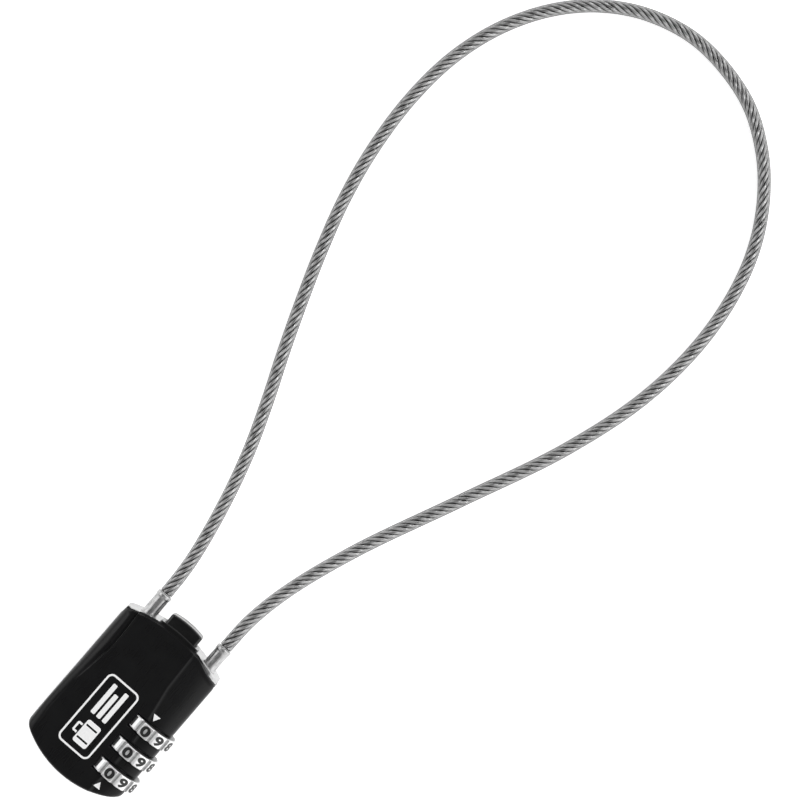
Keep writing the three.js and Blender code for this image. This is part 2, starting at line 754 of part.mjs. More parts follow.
function releaseSlider() {
  const back = SLIDER_BACK_Z;
  const front = back + SLIDER_THICKNESS;
  const base = solid(box(SLIDER_LEFT_X, SLIDER_RIGHT_X, FORK_Y, SLIDER_TOP_Y, back, front));
  const fork = solid(
    box(FORK_LEFT_X, SLIDER_RIGHT_X, FORK_Y, FORK_Y + FORK_THICKNESS, back, FORK_FRONT_Z),
  );
  const forkSlot = solid(
    box(
      DIAL_X - SPINDLE_NECK_RADIUS - GAP,
      DIAL_X + SPINDLE_NECK_RADIUS + GAP,
      FORK_Y - 1,
      FORK_Y + FORK_THICKNESS + 1,
      DIAL_Z - SPINDLE_NECK_RADIUS - GAP,
      FAR,
    ),
  );
  const buttonTab = solid(
    box(TAB_LEFT_X, TAB_RIGHT_X, SLIDER_TOP_Y - TAB_THICKNESS, SLIDER_TOP_Y, back, TAB_FRONT_Z),
  );
  const arm = solid(box(ARM_LEFT_X, ARM_RIGHT_X, FORK_Y, ARM_TOP_Y, back, front));
  const riser = solid(
    box(ARM_LEFT_X, ARM_RIGHT_X, ARM_TOP_Y - RISER_THICKNESS, ARM_TOP_Y, back, RISER_FRONT_Z),
  );
  const wedgeShape = polygon([
    [WEDGE_TIP_Y, CABLE_END_Z - WEDGE_TIP_HALF],
    [ARM_TOP_Y, CABLE_END_Z - WEDGE_BASE_HALF],
    [ARM_TOP_Y, CABLE_END_Z + WEDGE_BASE_HALF],
    [WEDGE_TIP_Y, CABLE_END_Z + WEDGE_TIP_HALF],
  ]);
  const wedge = solid(alongX(wedgeShape, WEDGE_LEFT_X, WEDGE_RIGHT_X));
  return join(cut(join(base, fork), forkSlot), buttonTab, arm, riser, wedge);
}

// ---------------------------------------------------------------- dials, hubs and spindle

// One dial's outline: raised digit pads with a shallow finger notch between each two.
function dialOutline() {
  const points = [];
  const step = (2 * Math.PI) / DIGITS;
  const profile = [
    [-0.32, DIAL_RADIUS - 0.08],
    [-0.2, DIAL_RADIUS],
    [0, DIAL_RADIUS],
    [0.2, DIAL_RADIUS],
    [0.32, DIAL_RADIUS - 0.08],
    [0.42, DIAL_NOTCH_RADIUS + 0.1],
    [0.5, DIAL_NOTCH_RADIUS],
    [0.58, DIAL_NOTCH_RADIUS + 0.1],
  ];
  for (let digit = 0; digit < DIGITS; digit++) {
    for (const [share, radius] of profile) {
      const angle = Math.PI / 2 + DIAL_REST_TURN + (digit + share) * step;
      points.push([radius * Math.cos(angle), radius * Math.sin(angle)]);
    }
  }
  return polygon(points);
}

function dial() {
  const ring = solid(alongY(dialOutline(), -DIAL_HALF_THICKNESS, DIAL_HALF_THICKNESS));
  return ring.subtract(solid(rodY(0, 0, DIAL_BORE_RADIUS, -5, 5, ROUND_SIDES)));
}

// A sleeve inside a dial. Its land stops the spindle's fin except where the gate lines up.
function dialHub() {
  const half = HUB_HALF_LENGTH;
  const sleeve = solid(rodY(0, 0, DIAL_BORE_RADIUS - GAP, -half, half, ROUND_SIDES));
  const upper = solid(rodY(0, 0, HUB_GROOVE_RADIUS, LAND_HIGH, half + 1, ROUND_SIDES));
  const lower = solid(rodY(0, 0, HUB_GROOVE_RADIUS, -half - 1, LAND_LOW, ROUND_SIDES));
  const bore = solid(rodY(0, 0, SPINDLE_RADIUS + 0.25, -5, 5, ROUND_SIDES));
  const gateHalf = FIN_HALF_WIDTH + 0.2;
  const gate = solid(box(-HUB_GROOVE_RADIUS + 0.1, 0, -5, 5, -gateHalf, gateHalf));
  return cut(sleeve, upper, lower, bore, gate);
}

function spindle() {
  const neckFoot = FORK_Y - GAP;
  const neckTop = FORK_Y + FORK_THICKNESS + GAP;
  const shaft = solid(
    turned(
      [
        [0, SPINDLE_FOOT_Y],
        [SPINDLE_RADIUS, SPINDLE_FOOT_Y],
        [SPINDLE_RADIUS, neckFoot],
        [SPINDLE_NECK_RADIUS, neckFoot],
        [SPINDLE_NECK_RADIUS, neckTop],
        [SPINDLE_RADIUS, neckTop],
        [SPINDLE_RADIUS, SPINDLE_TOP_Y],
        [0, SPINDLE_TOP_Y],
      ],
      SMALL_SIDES,
    ),
  );
  const fins = dialCentres().map((y) => {
    const low = y + FIN_LOW;
    return solid(box(-FIN_REACH, 0, low, low + FIN_THICKNESS, -FIN_HALF_WIDTH, FIN_HALF_WIDTH));
  });
  return join(shaft, ...fins);
}

// The cast carriage: a spine with a web on each side of every dial.
function dialCarriage() {
  const back = CARRIAGE_BACK_Z;
  const front = CARRIAGE_FRONT_Z;
  const webShape = (right) =>
    polygon([
      [SPINE_LEFT_X, back],
      [right, back],
      [right, WEB_SHOULDER_Z],
      [right - 2, WEB_SLOPE_Z],
      [WEB_SLOPE_X, front],
      [SPINE_LEFT_X, front],
    ]);
  const middles = [1.5, 0.5, -0.5, -1.5].map((step) => DIAL_MIDDLE_Y + step * DIAL_PITCH);
  const webs = middles.map((y, i) => {
    const right = i === middles.length - 1 ? LAST_WEB_RIGHT_X : WEB_RIGHT_X;
    return solid(alongY(webShape(right), y - WEB_HALF_THICKNESS, y + WEB_HALF_THICKNESS));
  });
  const top = middles[0] + WEB_HALF_THICKNESS;
  const foot = middles[3] - WEB_HALF_THICKNESS;
  const spine = solid(box(SPINE_LEFT_X, SPINE_RIGHT_X, foot, top, back, front));
  const springShelf = solid(
    box(SHELF_LEFT_X, 0, top - SHELF_HEIGHT, top, SHELF_BACK_Z, SHELF_FRONT_Z),
  );
  const resetLug = solid(
    box(
      RESET_X - RESET_LUG_REACH,
      0,
      RESET_LUG_Y,
      RESET_LUG_Y + RESET_LUG_THICKNESS,
      RESET_LUG_BACK_Z,
      RESET_LUG_FRONT_Z,
    ),
  );
  const resetHole = solid(rodY(RESET_X, RESET_Z, RESET_STEM_RADIUS + 0.15, -15, -12));
  const railSlot = solid(
    box(
      SPINE_RIGHT_X,
      SPINE_RIGHT_X + RAIL_SLOT_DEPTH,
      foot,
      top,
      RAIL_BACK_Z - RUNNING_GAP,
      RAIL_FRONT_Z + RUNNING_GAP,
    ),
  );
  const spindleBore = solid(rodY(DIAL_X, DIAL_Z, SPINDLE_RADIUS + GAP, -FAR, FAR));
  const keyway = solid(
    box(
      DIAL_X - FIN_REACH - 0.25,
      DIAL_X,
      -FAR,
      FAR,
      DIAL_Z - FIN_HALF_WIDTH - 0.15,
      DIAL_Z + FIN_HALF_WIDTH + 0.15,
    ),
  );
  return cut(join(spine, ...webs, springShelf, resetLug), resetHole, railSlot, spindleBore, keyway);
}

// A leaf spring with one finger that clicks into each dial's notches.
function detentSpring() {
  const left = SPINE_RIGHT_X + 0.05;
  const thickness = DETENT_THICKNESS;
  const bump = DIAL_X - DIAL_NOTCH_RADIUS - 0.2;
  const bumpZ = DIAL_Z - 0.5;
  const finger = polygon([
    [left, RAIL_BACK_Z + thickness],
    [left + thickness, RAIL_BACK_Z + thickness],
    [left + thickness, DETENT_KNEE_Z],
    [bump, bumpZ],
    [left + 0.3 + thickness, DETENT_TIP_Z],
    [left + 0.3, DETENT_TIP_Z],
    [bump - thickness, bumpZ],
    [left, DETENT_KNEE_Z],
  ]);
  const half = DETENT_HALF_WIDTH;
  const fingers = dialCentres().map((y) => solid(alongY(finger, y - half, y + half)));
  const [first, , last] = dialCentres();
  const rail = solid(
    box(left, left + thickness, last - half, first + half, RAIL_BACK_Z, RAIL_FRONT_Z),
  );
  return join(rail, ...fingers);
}

// ---------------------------------------------------------------- reset button and fasteners

function resetButton() {
  const flangeTop = RESET_FLANGE_Y + RESET_FLANGE_THICKNESS;
  return turned([
    [0, RESET_HEAD_Y],
    [RESET_HEAD_RADIUS, RESET_HEAD_Y],
    [RESET_HEAD_RADIUS, RESET_FLANGE_Y],
    [RESET_FLANGE_RADIUS, RESET_FLANGE_Y],
    [RESET_FLANGE_RADIUS, flangeTop],
    [RESET_STEM_RADIUS, flangeTop],
    [RESET_STEM_RADIUS, RESET_STEM_TOP_Y],
    [0, RESET_STEM_TOP_Y],
  ]);
}

function caseScrew() {
  const headTop = SCREW_HEAD_Z + SCREW_HEAD_THICKNESS;
  const profile = turned([
    [0, SCREW_HEAD_Z],
    [SCREW_HEAD_RADIUS, SCREW_HEAD_Z],
    [SCREW_HEAD_RADIUS, headTop],
    [SCREW_SHANK_RADIUS, headTop],
    [SCREW_SHANK_RADIUS, SCREW_TIP_Z - 0.5],
    [0, SCREW_TIP_Z],
  ]);
  profile.rotateX(Math.PI / 2);
  const depth = SCREW_HEAD_Z + SCREW_CROSS_DEPTH;
  const reach = SCREW_CROSS_REACH;
  const half = SCREW_CROSS_HALF;
  const across = solid(box(-reach, reach, -half, half, -1, depth));
  const along = solid(box(-half, half, -reach, reach, -1, depth));
  return cut(solid(profile), across, along);
}

// ---------------------------------------------------------------- cable

function alongCable(shape) {
  const points = CABLE_ROUTE.map((point) => new THREE.Vector3(...point));
  const path = new THREE.CatmullRomCurve3(points, false, "centripetal");
  return new THREE.ExtrudeGeometry(shape, {
    steps: CABLE_STEPS,
    extrudePath: path,
    bevelEnabled: false,
  });
}

function cableJacket() {
  const ring = polygonOf(CABLE_RADIUS, CABLE_SIDES);
  ring.holes.push(polygonOf(JACKET_BORE_RADIUS, CABLE_SIDES));
  return alongCable(ring);
}

// ---------------------------------------------------------------- the lock

add("front_case", blackCase, frontCase());
add("rear_cover", blackCase, rearCover());
add("lock_frame", castZinc, lockFrame());
add("dial_carriage", castZinc, dialCarriage());

add("button_bezel", blackPlastic, buttonBezel());
add("push_button", blackPlastic, pushButton());
add("release_slider", turnedSteel, releaseSlider());
add("button_spring", springSteel, coilSpring(BUTTON_SPRING), BUTTON_SPRING.foot);
add("spindle", turnedSteel, spindle(), [DIAL_X, 0, DIAL_Z]);

dialCentres().forEach((y, i) => {
  add(`dial_${i + 1}`, dialMetal, dial(), [DIAL_X, y, DIAL_Z]);
  add(`dial_hub_${i + 1}`, blackPlastic, dialHub(), [DIAL_X, y, DIAL_Z]);
});
add("detent_spring", springSteel, detentSpring());

add("anchor_ferrule", turnedSteel, anchorFerrule(), [ANCHOR_X, 0, CABLE_END_Z]);
add(
  "anchor_pin",
  turnedSteel,
  rodZ(ANCHOR_X, CROSS_PIN_Y, CROSS_PIN_RADIUS, CROSS_PIN_BACK_Z, CROSS_PIN_FRONT_Z),
);
add("locking_plug", turnedSteel, lockingPlug(), [PLUG_X, 0, CABLE_END_Z]);
add("latch_clip", springSteel, latchClip());
add("plug_spring", springSteel, coilSpring(PLUG_SPRING), PLUG_SPRING.foot);

add("reset_button", blackPlastic, resetButton(), [RESET_X, 0, RESET_Z]);
add("reset_spring", springSteel, coilSpring(RESET_SPRING), RESET_SPRING.foot);
SCREW_PLACES.forEach(([x, y], i) => {
  add(`case_screw_${i + 1}`, turnedSteel, caseScrew(), [x, y, 0]);
});

add("cable_jacket", clearJacket, cableJacket());
add("cable_rope", wireRope, alongCable(polygonOf(ROPE_RADIUS, CABLE_SIDES)));

export default lock;
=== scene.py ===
"""Looks for the cable luggage lock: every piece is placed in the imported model's own frame.

Lengths are written in millimetres and turned into metres when a mesh is made.
"""

import math

import bmesh
import bpy
import numpy as np
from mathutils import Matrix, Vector
from mathutils.bvhtree import BVHTree


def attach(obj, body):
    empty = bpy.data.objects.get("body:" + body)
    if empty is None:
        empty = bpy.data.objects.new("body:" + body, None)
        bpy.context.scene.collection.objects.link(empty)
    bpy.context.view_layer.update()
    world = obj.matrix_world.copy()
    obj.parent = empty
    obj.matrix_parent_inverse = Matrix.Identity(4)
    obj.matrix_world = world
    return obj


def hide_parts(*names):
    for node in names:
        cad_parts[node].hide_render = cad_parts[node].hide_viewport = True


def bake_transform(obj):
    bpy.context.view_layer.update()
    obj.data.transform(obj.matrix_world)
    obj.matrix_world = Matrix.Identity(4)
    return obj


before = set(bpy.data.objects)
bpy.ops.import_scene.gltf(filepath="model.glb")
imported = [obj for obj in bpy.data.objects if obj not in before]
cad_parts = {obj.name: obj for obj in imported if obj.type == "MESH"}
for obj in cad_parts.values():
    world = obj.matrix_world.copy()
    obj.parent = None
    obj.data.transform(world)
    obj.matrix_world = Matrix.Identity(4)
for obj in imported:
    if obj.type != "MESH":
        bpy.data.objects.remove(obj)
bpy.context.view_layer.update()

MM = 0.001
TURN = 2 * math.pi

# ---- the lock's dimensions

HALF_WIDTH = 13.6
HALF_HEIGHT = 20.4
TOP_RADIUS = 35.0
BOTTOM_RADIUS = 25.0
CORNER_RADIUS = 2.0
STRAIGHT_LOW = -14.8
STRAIGHT_HIGH = 4.6
SIDE_Z = 8.2
PARTING_Z = 3.8
WALL = 1.15

PANEL_FOOT_Z = 11.86
STEP_WIDTH = 0.3
FLANK_FALL = 0.55
FLANK_GROOVE = 0.45
RIDGE_FALL = 0.42
SLOT_RIM = 0.2
RIM_ROWS = (0.22, 0.13, 0.05)

PLATE_DEPTH = 2.1
PLATE_HALF = 13.5
PLATE_LOW_Z = 1.2
PLATE_HIGH_Z = 10.4
PLATE_THICK = 2.0
NOTCH_HALF = 5.4
NOTCH_Z = 4.4
BORE_GAP = 0.12

DIAL_X = 8.74
DIAL_Z = 7.45
DIAL_CENTRES = (-0.3, -6.45, -12.6)
DIAL_RADIUS = 6.25
DIAL_HALF = 1.55
DIAL_BORE = 4.0
DIAL_REST_TURN = math.radians(5)
DIGITS = 10
PAD_SHARE = 0.325
PAD_EDGE = 0.045
VALLEY_RADIUS = 5.74
DIGIT_WIDTH = 2.35
FONT_WEIGHT = 0.045
DIGIT_HEIGHT = 2.45
POCKET_HALF = 1.85
POCKET_LEFT_X = 4.23
UNDERCUT_X = 3.2
UNDERCUT_WIDTH = 2.2

COVER_DROP = 1.2
COVER_EDGE = 0.5
COVER_FLOOR_Z = 0.85
SCREW_PLACES = ((-9.5, 4.5), (-9.5, -10.5), (-4.2, -6.5))
SCREW_HEAD_RADIUS = 1.55
SCREW_SHANK_RADIUS = 0.75
SCREW_POCKET_RADIUS = 1.65
SCREW_POCKET_DEPTH = 1.2

BUTTON_HALF = 4.4
BUTTON_LOW_Z = 5.3
BUTTON_HIGH_Z = 9.8
BUTTON_HEIGHT = 7.8
BUTTON_FOOT_Y = 16.2
BUTTON_TOP_Y = 23.6
BUTTON_ARCH = 20
BEZEL_HALF = 5.3

RESET_X = -3.2
RESET_Z = 7.0

CABLE_END_Z = 7.2
ANCHOR_X = -8.6
ANCHOR_FOOT_Y = 11.9
ANCHOR_TOP_Y = 25.1
PLUG_X = 9.6
PLUG_TOP_Y = 24.5
FERRULE_RADIUS = 1.75
CRIMP_FOOT_Y = 19.5
CRIMP_DEPTH = 0.09
FLATS = 8

JACKET_RADIUS = 1.5
STRANDS = 6
STRAND_RADIUS = 0.42
STRAND_HELIX = 0.86
STRAND_LAY = 11.0
WIRES = 6
WIRE_LAY = 1.15
LYING_Z = 1.52
BEND_START = (ANCHOR_X, 25.5, 0)
TUBE_SMOOTH = 60

LYING_ROUTE = [
    (-29, 95.8), (-33.1, 107.4), (-36.7, 119.5), (-39.2, 132.5), (-40.2, 146.8), (-39, 160.4),
    (-35.2, 172.7), (-29.1, 183.2), (-21, 191.5), (-10.8, 197.3), (2, 199.9), (18, 197),
    (28.4, 190.6), (36.2, 182.2), (42, 172), (45.5, 159.9), (46.7, 145.7), (45, 129.1), (39.1, 108.9),
]
CABLE_ROUTE = [
    (ANCHOR_X, 25.4, CABLE_END_Z), (-8.8, 31, 7.1), (-9.5, 37.2, 6.6), (-12.1, 49.8, 5.3),
    (-15.6, 61.9, 3.8), (-19.9, 73.2, 2.5), (-24.6, 84.4, 1.7),
    *((x, y, LYING_Z) for x, y in LYING_ROUTE),
    (28.7, 84.8, 1.7), (17.8, 60.3, 3.5), (12, 43.6, 5.8), (9.9, 33, 6.9),
    (PLUG_X, 24.8, CABLE_END_Z),
]


# ---- camera

VIEW_WIDTH = 184
CAMERA_PLACE = (3.0, 93.0, 480)
CAMERA_ROLL = math.atan2(0.652, 0.758)


def make_camera():
    data = bpy.data.cameras.new("camera")
    data.sensor_width = 36
    data.lens = data.sensor_width * CAMERA_PLACE[2] / VIEW_WIDTH
    data.clip_start = 0.01
    data.clip_end = 10
    camera = bpy.data.objects.new("camera", data)
    bpy.context.scene.collection.objects.link(camera)
    camera.location = [c * MM for c in CAMERA_PLACE]
    camera.rotation_euler = (0, 0, CAMERA_ROLL)
    bpy.context.scene.camera = camera


make_camera()


# ---- meshes

def mesh_object(name, points, faces, smooth_angle=35, uvs=None):
    """A mesh object from points in millimetres; edges sharper than the angle stay sharp."""
    mesh = bpy.data.meshes.new(name)
    mesh.from_pydata([tuple(c * MM for c in p) for p in points], [], faces)
    if uvs is not None:
        layer = mesh.uv_layers.new(name="UVMap")
        for polygon, corners in zip(mesh.polygons, uvs):
            for loop, uv in zip(polygon.loop_indices, corners):
                layer.data[loop].uv = uv
    return finish_mesh(name, mesh, smooth_angle)


def finish_mesh(name, mesh, smooth_angle=35):
    """An object in the scene for a mesh in metres."""
    mesh.validate()
    mesh.shade_smooth()
    mesh.set_sharp_from_angle(angle=math.radians(smooth_angle))
    made = bpy.data.objects.new(name, mesh)
    bpy.context.scene.collection.objects.link(made)
    return made


def grid_faces(rows, columns, closed=False):
    """Quads over a grid of points listed row by row; closed joins the last column to the first."""
    faces = []
    for r in range(rows - 1):
        for c in range(columns if closed else columns - 1):
            d = (c + 1) % columns
            a = r * columns
            faces.append((a + c, a + d, a + columns + d, a + columns + c))
    return faces


def shell(outer, inner, faces):
    """Outer faces, the same faces turned inward, and walls along every open edge."""
    count = len(outer)
    edges = {}
    for face in faces:
        for a, b in zip(face, face[1:] + face[:1]):
            edges[(a, b)] = True
    walls = [(b, a, a + count, b + count) for a, b in edges if (b, a) not in edges]
    inside = [tuple(i + count for i in reversed(face)) for face in faces]
    return list(outer) + list(inner), list(faces) + inside + walls


def turned(name, profile, centre, sides=64, radius_at=None, smooth_angle=35):
    """A profile of (radius, y) turned about an axis along Y; radius_at reshapes it by angle."""
    points = []
    for radius, y in profile:
        for k in range(sides):
            angle = TURN * k / sides
            r = radius if radius_at is None else radius_at(radius, y, angle)
            points.append((centre[0] + r * math.cos(angle), y, centre[1] + r * math.sin(angle)))
    faces = [tuple(reversed(f)) for f in grid_faces(len(profile), sides, closed=True)]
    faces.append(tuple(range(sides)))
    last = len(points) - sides
    faces.append(tuple(reversed(range(last, last + sides))))
    return mesh_object(name, points, faces, smooth_angle)


def outlines_mesh(loops, half_depth, bevel=0.0, segments=3, text=None):
    """A flat shape as a bmesh in millimetres, its thickness along Z and its rims rounded.

    It comes from closed loops, the first its outside and the rest its holes, or from a text.
    """
    if text is None:
        curve = bpy.data.curves.new("outline", "CURVE")
        curve.dimensions = "2D"
        for loop in loops:
            spline = curve.splines.new("POLY")
            spline.points.add(len(loop) - 1)
            for point, (x, y) in zip(spline.points, loop):
                point.co = (x, y, 0, 1)
            spline.use_cyclic_u = True
    else:
        curve = bpy.data.curves.new("outline", "FONT")
        curve.body = text
        curve.align_x = "CENTER"
        curve.resolution_u = 6
        curve.offset = FONT_WEIGHT
    curve.fill_mode = "BOTH"
    curve.extrude = max(half_depth - bevel, 0)
    curve.bevel_depth = bevel
    curve.bevel_resolution = segments - 1
    if bevel:
        curve.offset = -bevel
    holder = bpy.data.objects.new("outline", curve)
    bpy.context.scene.collection.objects.link(holder)
    made = bmesh.new()
    made.from_mesh(holder.to_mesh())
    holder.to_mesh_clear()
    bpy.data.objects.remove(holder)
    bpy.data.curves.remove(curve)
    bmesh.ops.remove_doubles(made, verts=made.verts, dist=1e-4)
    return made


def slice_along(made, axis, low, high, step):
    """Cuts a bmesh by planes across an axis, so that it can bend."""
    normal = Vector([1.0 if i == axis else 0.0 for i in range(3)])
    cuts = max(1, round((high - low) / step))
    for k in range(1, cuts):
        geometry = made.verts[:] + made.edges[:] + made.faces[:]
        place = normal * (low + (high - low) * k / cuts)
        bmesh.ops.bisect_plane(made, geom=geometry, dist=1e-4, plane_no=normal, plane_co=place)


def bmesh_object(name, made, place=None, smooth_angle=35):
    """A mesh object from a bmesh in millimetres, each point moved by place."""
    for vertex in made.verts:
        moved = vertex.co if place is None else Vector(place(*vertex.co))
        vertex.co = moved * MM
    bmesh.ops.recalc_face_normals(made, faces=made.faces)
    mesh = bpy.data.meshes.new(name)
    made.to_mesh(mesh)
    made.free()
    return finish_mesh(name, mesh, smooth_angle)


def join_objects(name, objects):
    """One object from several, which are removed."""
    made = bmesh.new()
    for source in objects:
        made.from_mesh(source.data)
        bpy.data.objects.remove(source)
    mesh = bpy.data.meshes.new(name)
    made.to_mesh(mesh)
    made.free()
    return finish_mesh(name, mesh)


def rounded_rectangle(low_x, high_x, low_y, high_y, radius, steps=8):
    points = []
    corners = [
        (high_x - radius, high_y - radius, 0), (low_x + radius, high_y - radius, 1),
        (low_x + radius, low_y + radius, 2), (high_x - radius, low_y + radius, 3),
    ]
    for x, y, quarter in corners:
        for k in range(steps + 1):
            angle = (quarter + k / steps) * math.pi / 2
            points.append((x + radius * math.cos(angle), y + radius * math.sin(angle)))
    return points


def arc(x, y, radius, start, sweep, steps, skip=0):
    """Points along an arc, leaving out skip of them at each end."""
    angles = [start + sweep * k / steps for k in range(skip, steps + 1 - skip)]
    return [(x + radius * math.cos(a), y + radius * math.sin(a)) for a in angles]


def circle(x, y, radius, sides=48):
    return arc(x, y, radius, 0, TURN, sides)[:-1]


def smoothstep(value, low, high):
    share = min(1.0, max(0.0, (value - low) / (high - low)))
    return share * share * (3 - 2 * share)


# ---- materials

class Nodes:
    """Shader nodes in one tree."""

    def __init__(self, tree):
        self.tree = tree

    def add(self, kind, inputs, **settings):
        """A node with its settings made, and its inputs set or linked."""
        node = self.tree.nodes.new("ShaderNode" + kind)
        for setting, value in settings.items():
            setattr(node, setting, value)
        for socket, value in inputs.items():
            self.feed(node.inputs[socket], value)
        return node

    def feed(self, socket, value):
        """Sets a socket to a number, a vector or a colour, or links another node's output to it."""
        if isinstance(value, (int, float)):
            socket.default_value = value
        elif isinstance(value, tuple):
            socket.default_value = value + (1,) * (len(socket.default_value) - len(value))
        else:
            self.tree.links.new(value, socket)

    def axes(self, place):
        return self.add("SeparateXYZ", {0: place}).outputs

    def ramp(self, source, stops):
        node = self.add("ValToRGB", {"Fac": source})
        while len(node.color_ramp.elements) < len(stops):
            node.color_ramp.elements.new(0.5)
        for element, (at, value) in zip(node.color_ramp.elements, stops):
            element.position = at
            element.color = (value, value, value, 1)
        return node.outputs["Color"]

    def math(self, operation, *values):
        return self.add("Math", dict(enumerate(values)), operation=operation).outputs[0]

    def mix(self, kind, share, first, second):
        inputs = {"Factor": share, 6: first, 7: second}
        return self.add("Mix", inputs, data_type="RGBA", blend_type=kind).outputs[2]


class Look(Nodes):
    """A Principled material whose colour, roughness and bump come from noise in millimetres."""

    def __init__(self, name, metallic=0.0, coordinates="Object"):
        self.material = bpy.data.materials.new(name)
        self.material.use_nodes = True
        super().__init__(self.material.node_tree)
        self.shader = self.tree.nodes["Principled BSDF"]
        self.shader.inputs["Metallic"].default_value = metallic
        where = self.add("TexCoord", {}).outputs[coordinates]
        scale = 1 if coordinates == "UV" else 1 / MM
        self.place = self.add("VectorMath", {0: where, "Scale": scale}, operation="SCALE").outputs[0]
        self.bump = None

    def stretched(self, factors):
        return self.add("Mapping", {"Scale": factors, "Vector": self.place}).outputs[0]

    def noise(self, scale, detail=4.0, rough=0.55, place=None, distortion=0.0):
        inputs = {"Scale": scale, "Detail": detail, "Roughness": rough, "Distortion": distortion}
        return self.add("TexNoise", {**inputs, "Vector": place or self.place}).outputs["Fac"]

    def colour(self, source):
        self.feed(self.shader.inputs["Base Color"], source)

    def roughness(self, source, stops):
        self.feed(self.shader.inputs["Roughness"], self.ramp(source, stops))

    def raise_by(self, source, distance):
        """Adds bump, distance in millimetres."""
        inputs = {"Distance": distance * MM, "Strength": 1.0, "Height": source}
        if self.bump is not None:
            inputs["Normal"] = self.bump
        self.bump = self.add("Bump", inputs).outputs[0]
        self.feed(self.shader.inputs["Normal"], self.bump)


def black_paint():
    """Satin black paint: clouds, dust and fine scratches, and less shine along the top edge."""
    look = Look("case_black")
    cloud = look.noise(0.16, 3)
    colour = look.mix("MIX", cloud, (0.0045, 0.0045, 0.0048), (0.0085, 0.0085, 0.0088))
    dust = look.ramp(look.noise(9.0, 2, 0.7), [(0.70, 0.0), (0.82, 0.05)])
    look.colour(look.mix("ADD", 0.35, colour, dust))
    scratch = look.noise(1.1, 5, 0.7, look.stretched((1.0, 0.16, 1.0)), 0.6)
    # scratch wear, used for the roughness only; no painted shade here
    wear_and_valley_shade = look.math("MULTIPLY_ADD", scratch, 0.5, look.math("MULTIPLY", cloud, 0.5))
    look.roughness(wear_and_valley_shade, [(0.3, 0.22), (0.7, 0.36)])
    look.raise_by(look.noise(5.5, 3, 0.6), 0.010)
    look.raise_by(look.noise(0.30, 2, 0.5), 0.035)
    x, y, _ = look.axes(look.place)
    across = look.math("POWER", look.math("ABSOLUTE", x), 2.0)
    arch = look.math("SQRT", look.math("SUBTRACT", TOP_RADIUS**2, across))
    inset = look.math("SUBTRACT", look.math("ADD", arch, HALF_HEIGHT - TOP_RADIUS), y)
    shine = look.ramp(inset, [(0.38, 0.01), (0.55, 0.2)])
    look.feed(look.shader.inputs["Specular IOR Level"], shine)
    return look.material


def black_plastic():
    look = Look("button_black")
    look.colour(look.ramp(look.noise(0.5, 4), [(0.3, 0.0035), (0.75, 0.009)]))
    look.roughness(look.noise(2.4, 4, 0.65), [(0.3, 0.10), (0.75, 0.2)])
    look.raise_by(look.noise(11.0, 2), 0.006)
    return look.material


def satin_metal(name, dark, light, rough, stretch=(1, 1, 1), scale=3.0, grain=0.01):
    """Bare metal: brushed along stretch, mottled between a dark and a light grey."""
    look = Look(name, 1.0)
    cloud = look.noise(scale * 0.22, 4)
    brushed = look.noise(scale, 5, 0.7, look.stretched(stretch))
    tone = look.math("MULTIPLY_ADD", brushed, 0.6, look.math("MULTIPLY", cloud, 0.4))
    look.colour(look.ramp(tone, [(0.32, dark), (0.68, light)]))
    look.roughness(brushed, [(0.3, rough * 0.8), (0.72, rough * 1.3)])
    look.raise_by(brushed, grain)
    return look


def dial_metal():
    """The dials' metal, with painted shade darkening the valleys between the numbers."""
    look = satin_metal("dial_metal", 0.66, 0.96, 0.40, (1, 0.35, 1), 3.6, 0.012)
    x, _, z = look.axes(look.place)
    away_x = look.math("SUBTRACT", x, DIAL_X)
    away_z = look.math("SUBTRACT", z, DIAL_Z)
    squares = look.math("ADD", look.math("POWER", away_x, 2.0), look.math("POWER", away_z, 2.0))
    height = look.math("SUBTRACT", look.math("SQRT", squares), 5.8)
    # painted shade: the colour darkens with depth into the valleys between the numbers, mottled by noise
    wear_and_valley_shade = look.math("MULTIPLY_ADD", look.noise(1.6, 4), 0.25, height)
    colour = look.shader.inputs["Base Color"].links[0].from_socket
    look.colour(look.mix("MULTIPLY", 1.0, colour, look.ramp(wear_and_valley_shade, [(0.0, 0.34), (0.42, 1.0)])))
    return look.material


def strand_metal():
    """A strand's wires, drawn by its UVs as bumps and as painted shade between the wires, and painted
    shade darkening it where it turns in to the rope's middle.
    """
    look = Look("wire_rope", 1.0, "UV")
    round_share, length, _ = look.axes(look.place)
    around = look.math("MULTIPLY", round_share, float(WIRES))
    phase = look.math("ADD", around, look.math("DIVIDE", length, WIRE_LAY))
    wires = look.math("MULTIPLY_ADD", look.math("SINE", look.math("MULTIPLY", phase, TURN)), 0.5, 0.5)
    cloud = look.noise(0.35, 4)
    # painted shade: the wires' stripes darken the colour in the gaps between the wires
    tone = look.math("MULTIPLY_ADD", wires, 0.35, look.math("MULTIPLY", cloud, 0.75))
    # painted shade: darker as the strand turns in to the rope's middle, standing in for shade in the
    # grooves between strands
    outward = look.math("ABSOLUTE", look.math("SUBTRACT", round_share, 0.5))
    painted_groove_shade = look.ramp(outward, [(0.08, 1.0), (0.16, 0.6), (0.23, 0.14)])
    look.colour(look.mix("MULTIPLY", 1.0, look.ramp(tone, [(0.25, 0.34), (0.8, 0.70)]), painted_groove_shade))
    look.roughness(cloud, [(0.3, 0.24), (0.7, 0.38)])
    look.raise_by(wires, 0.05)
    return look.material


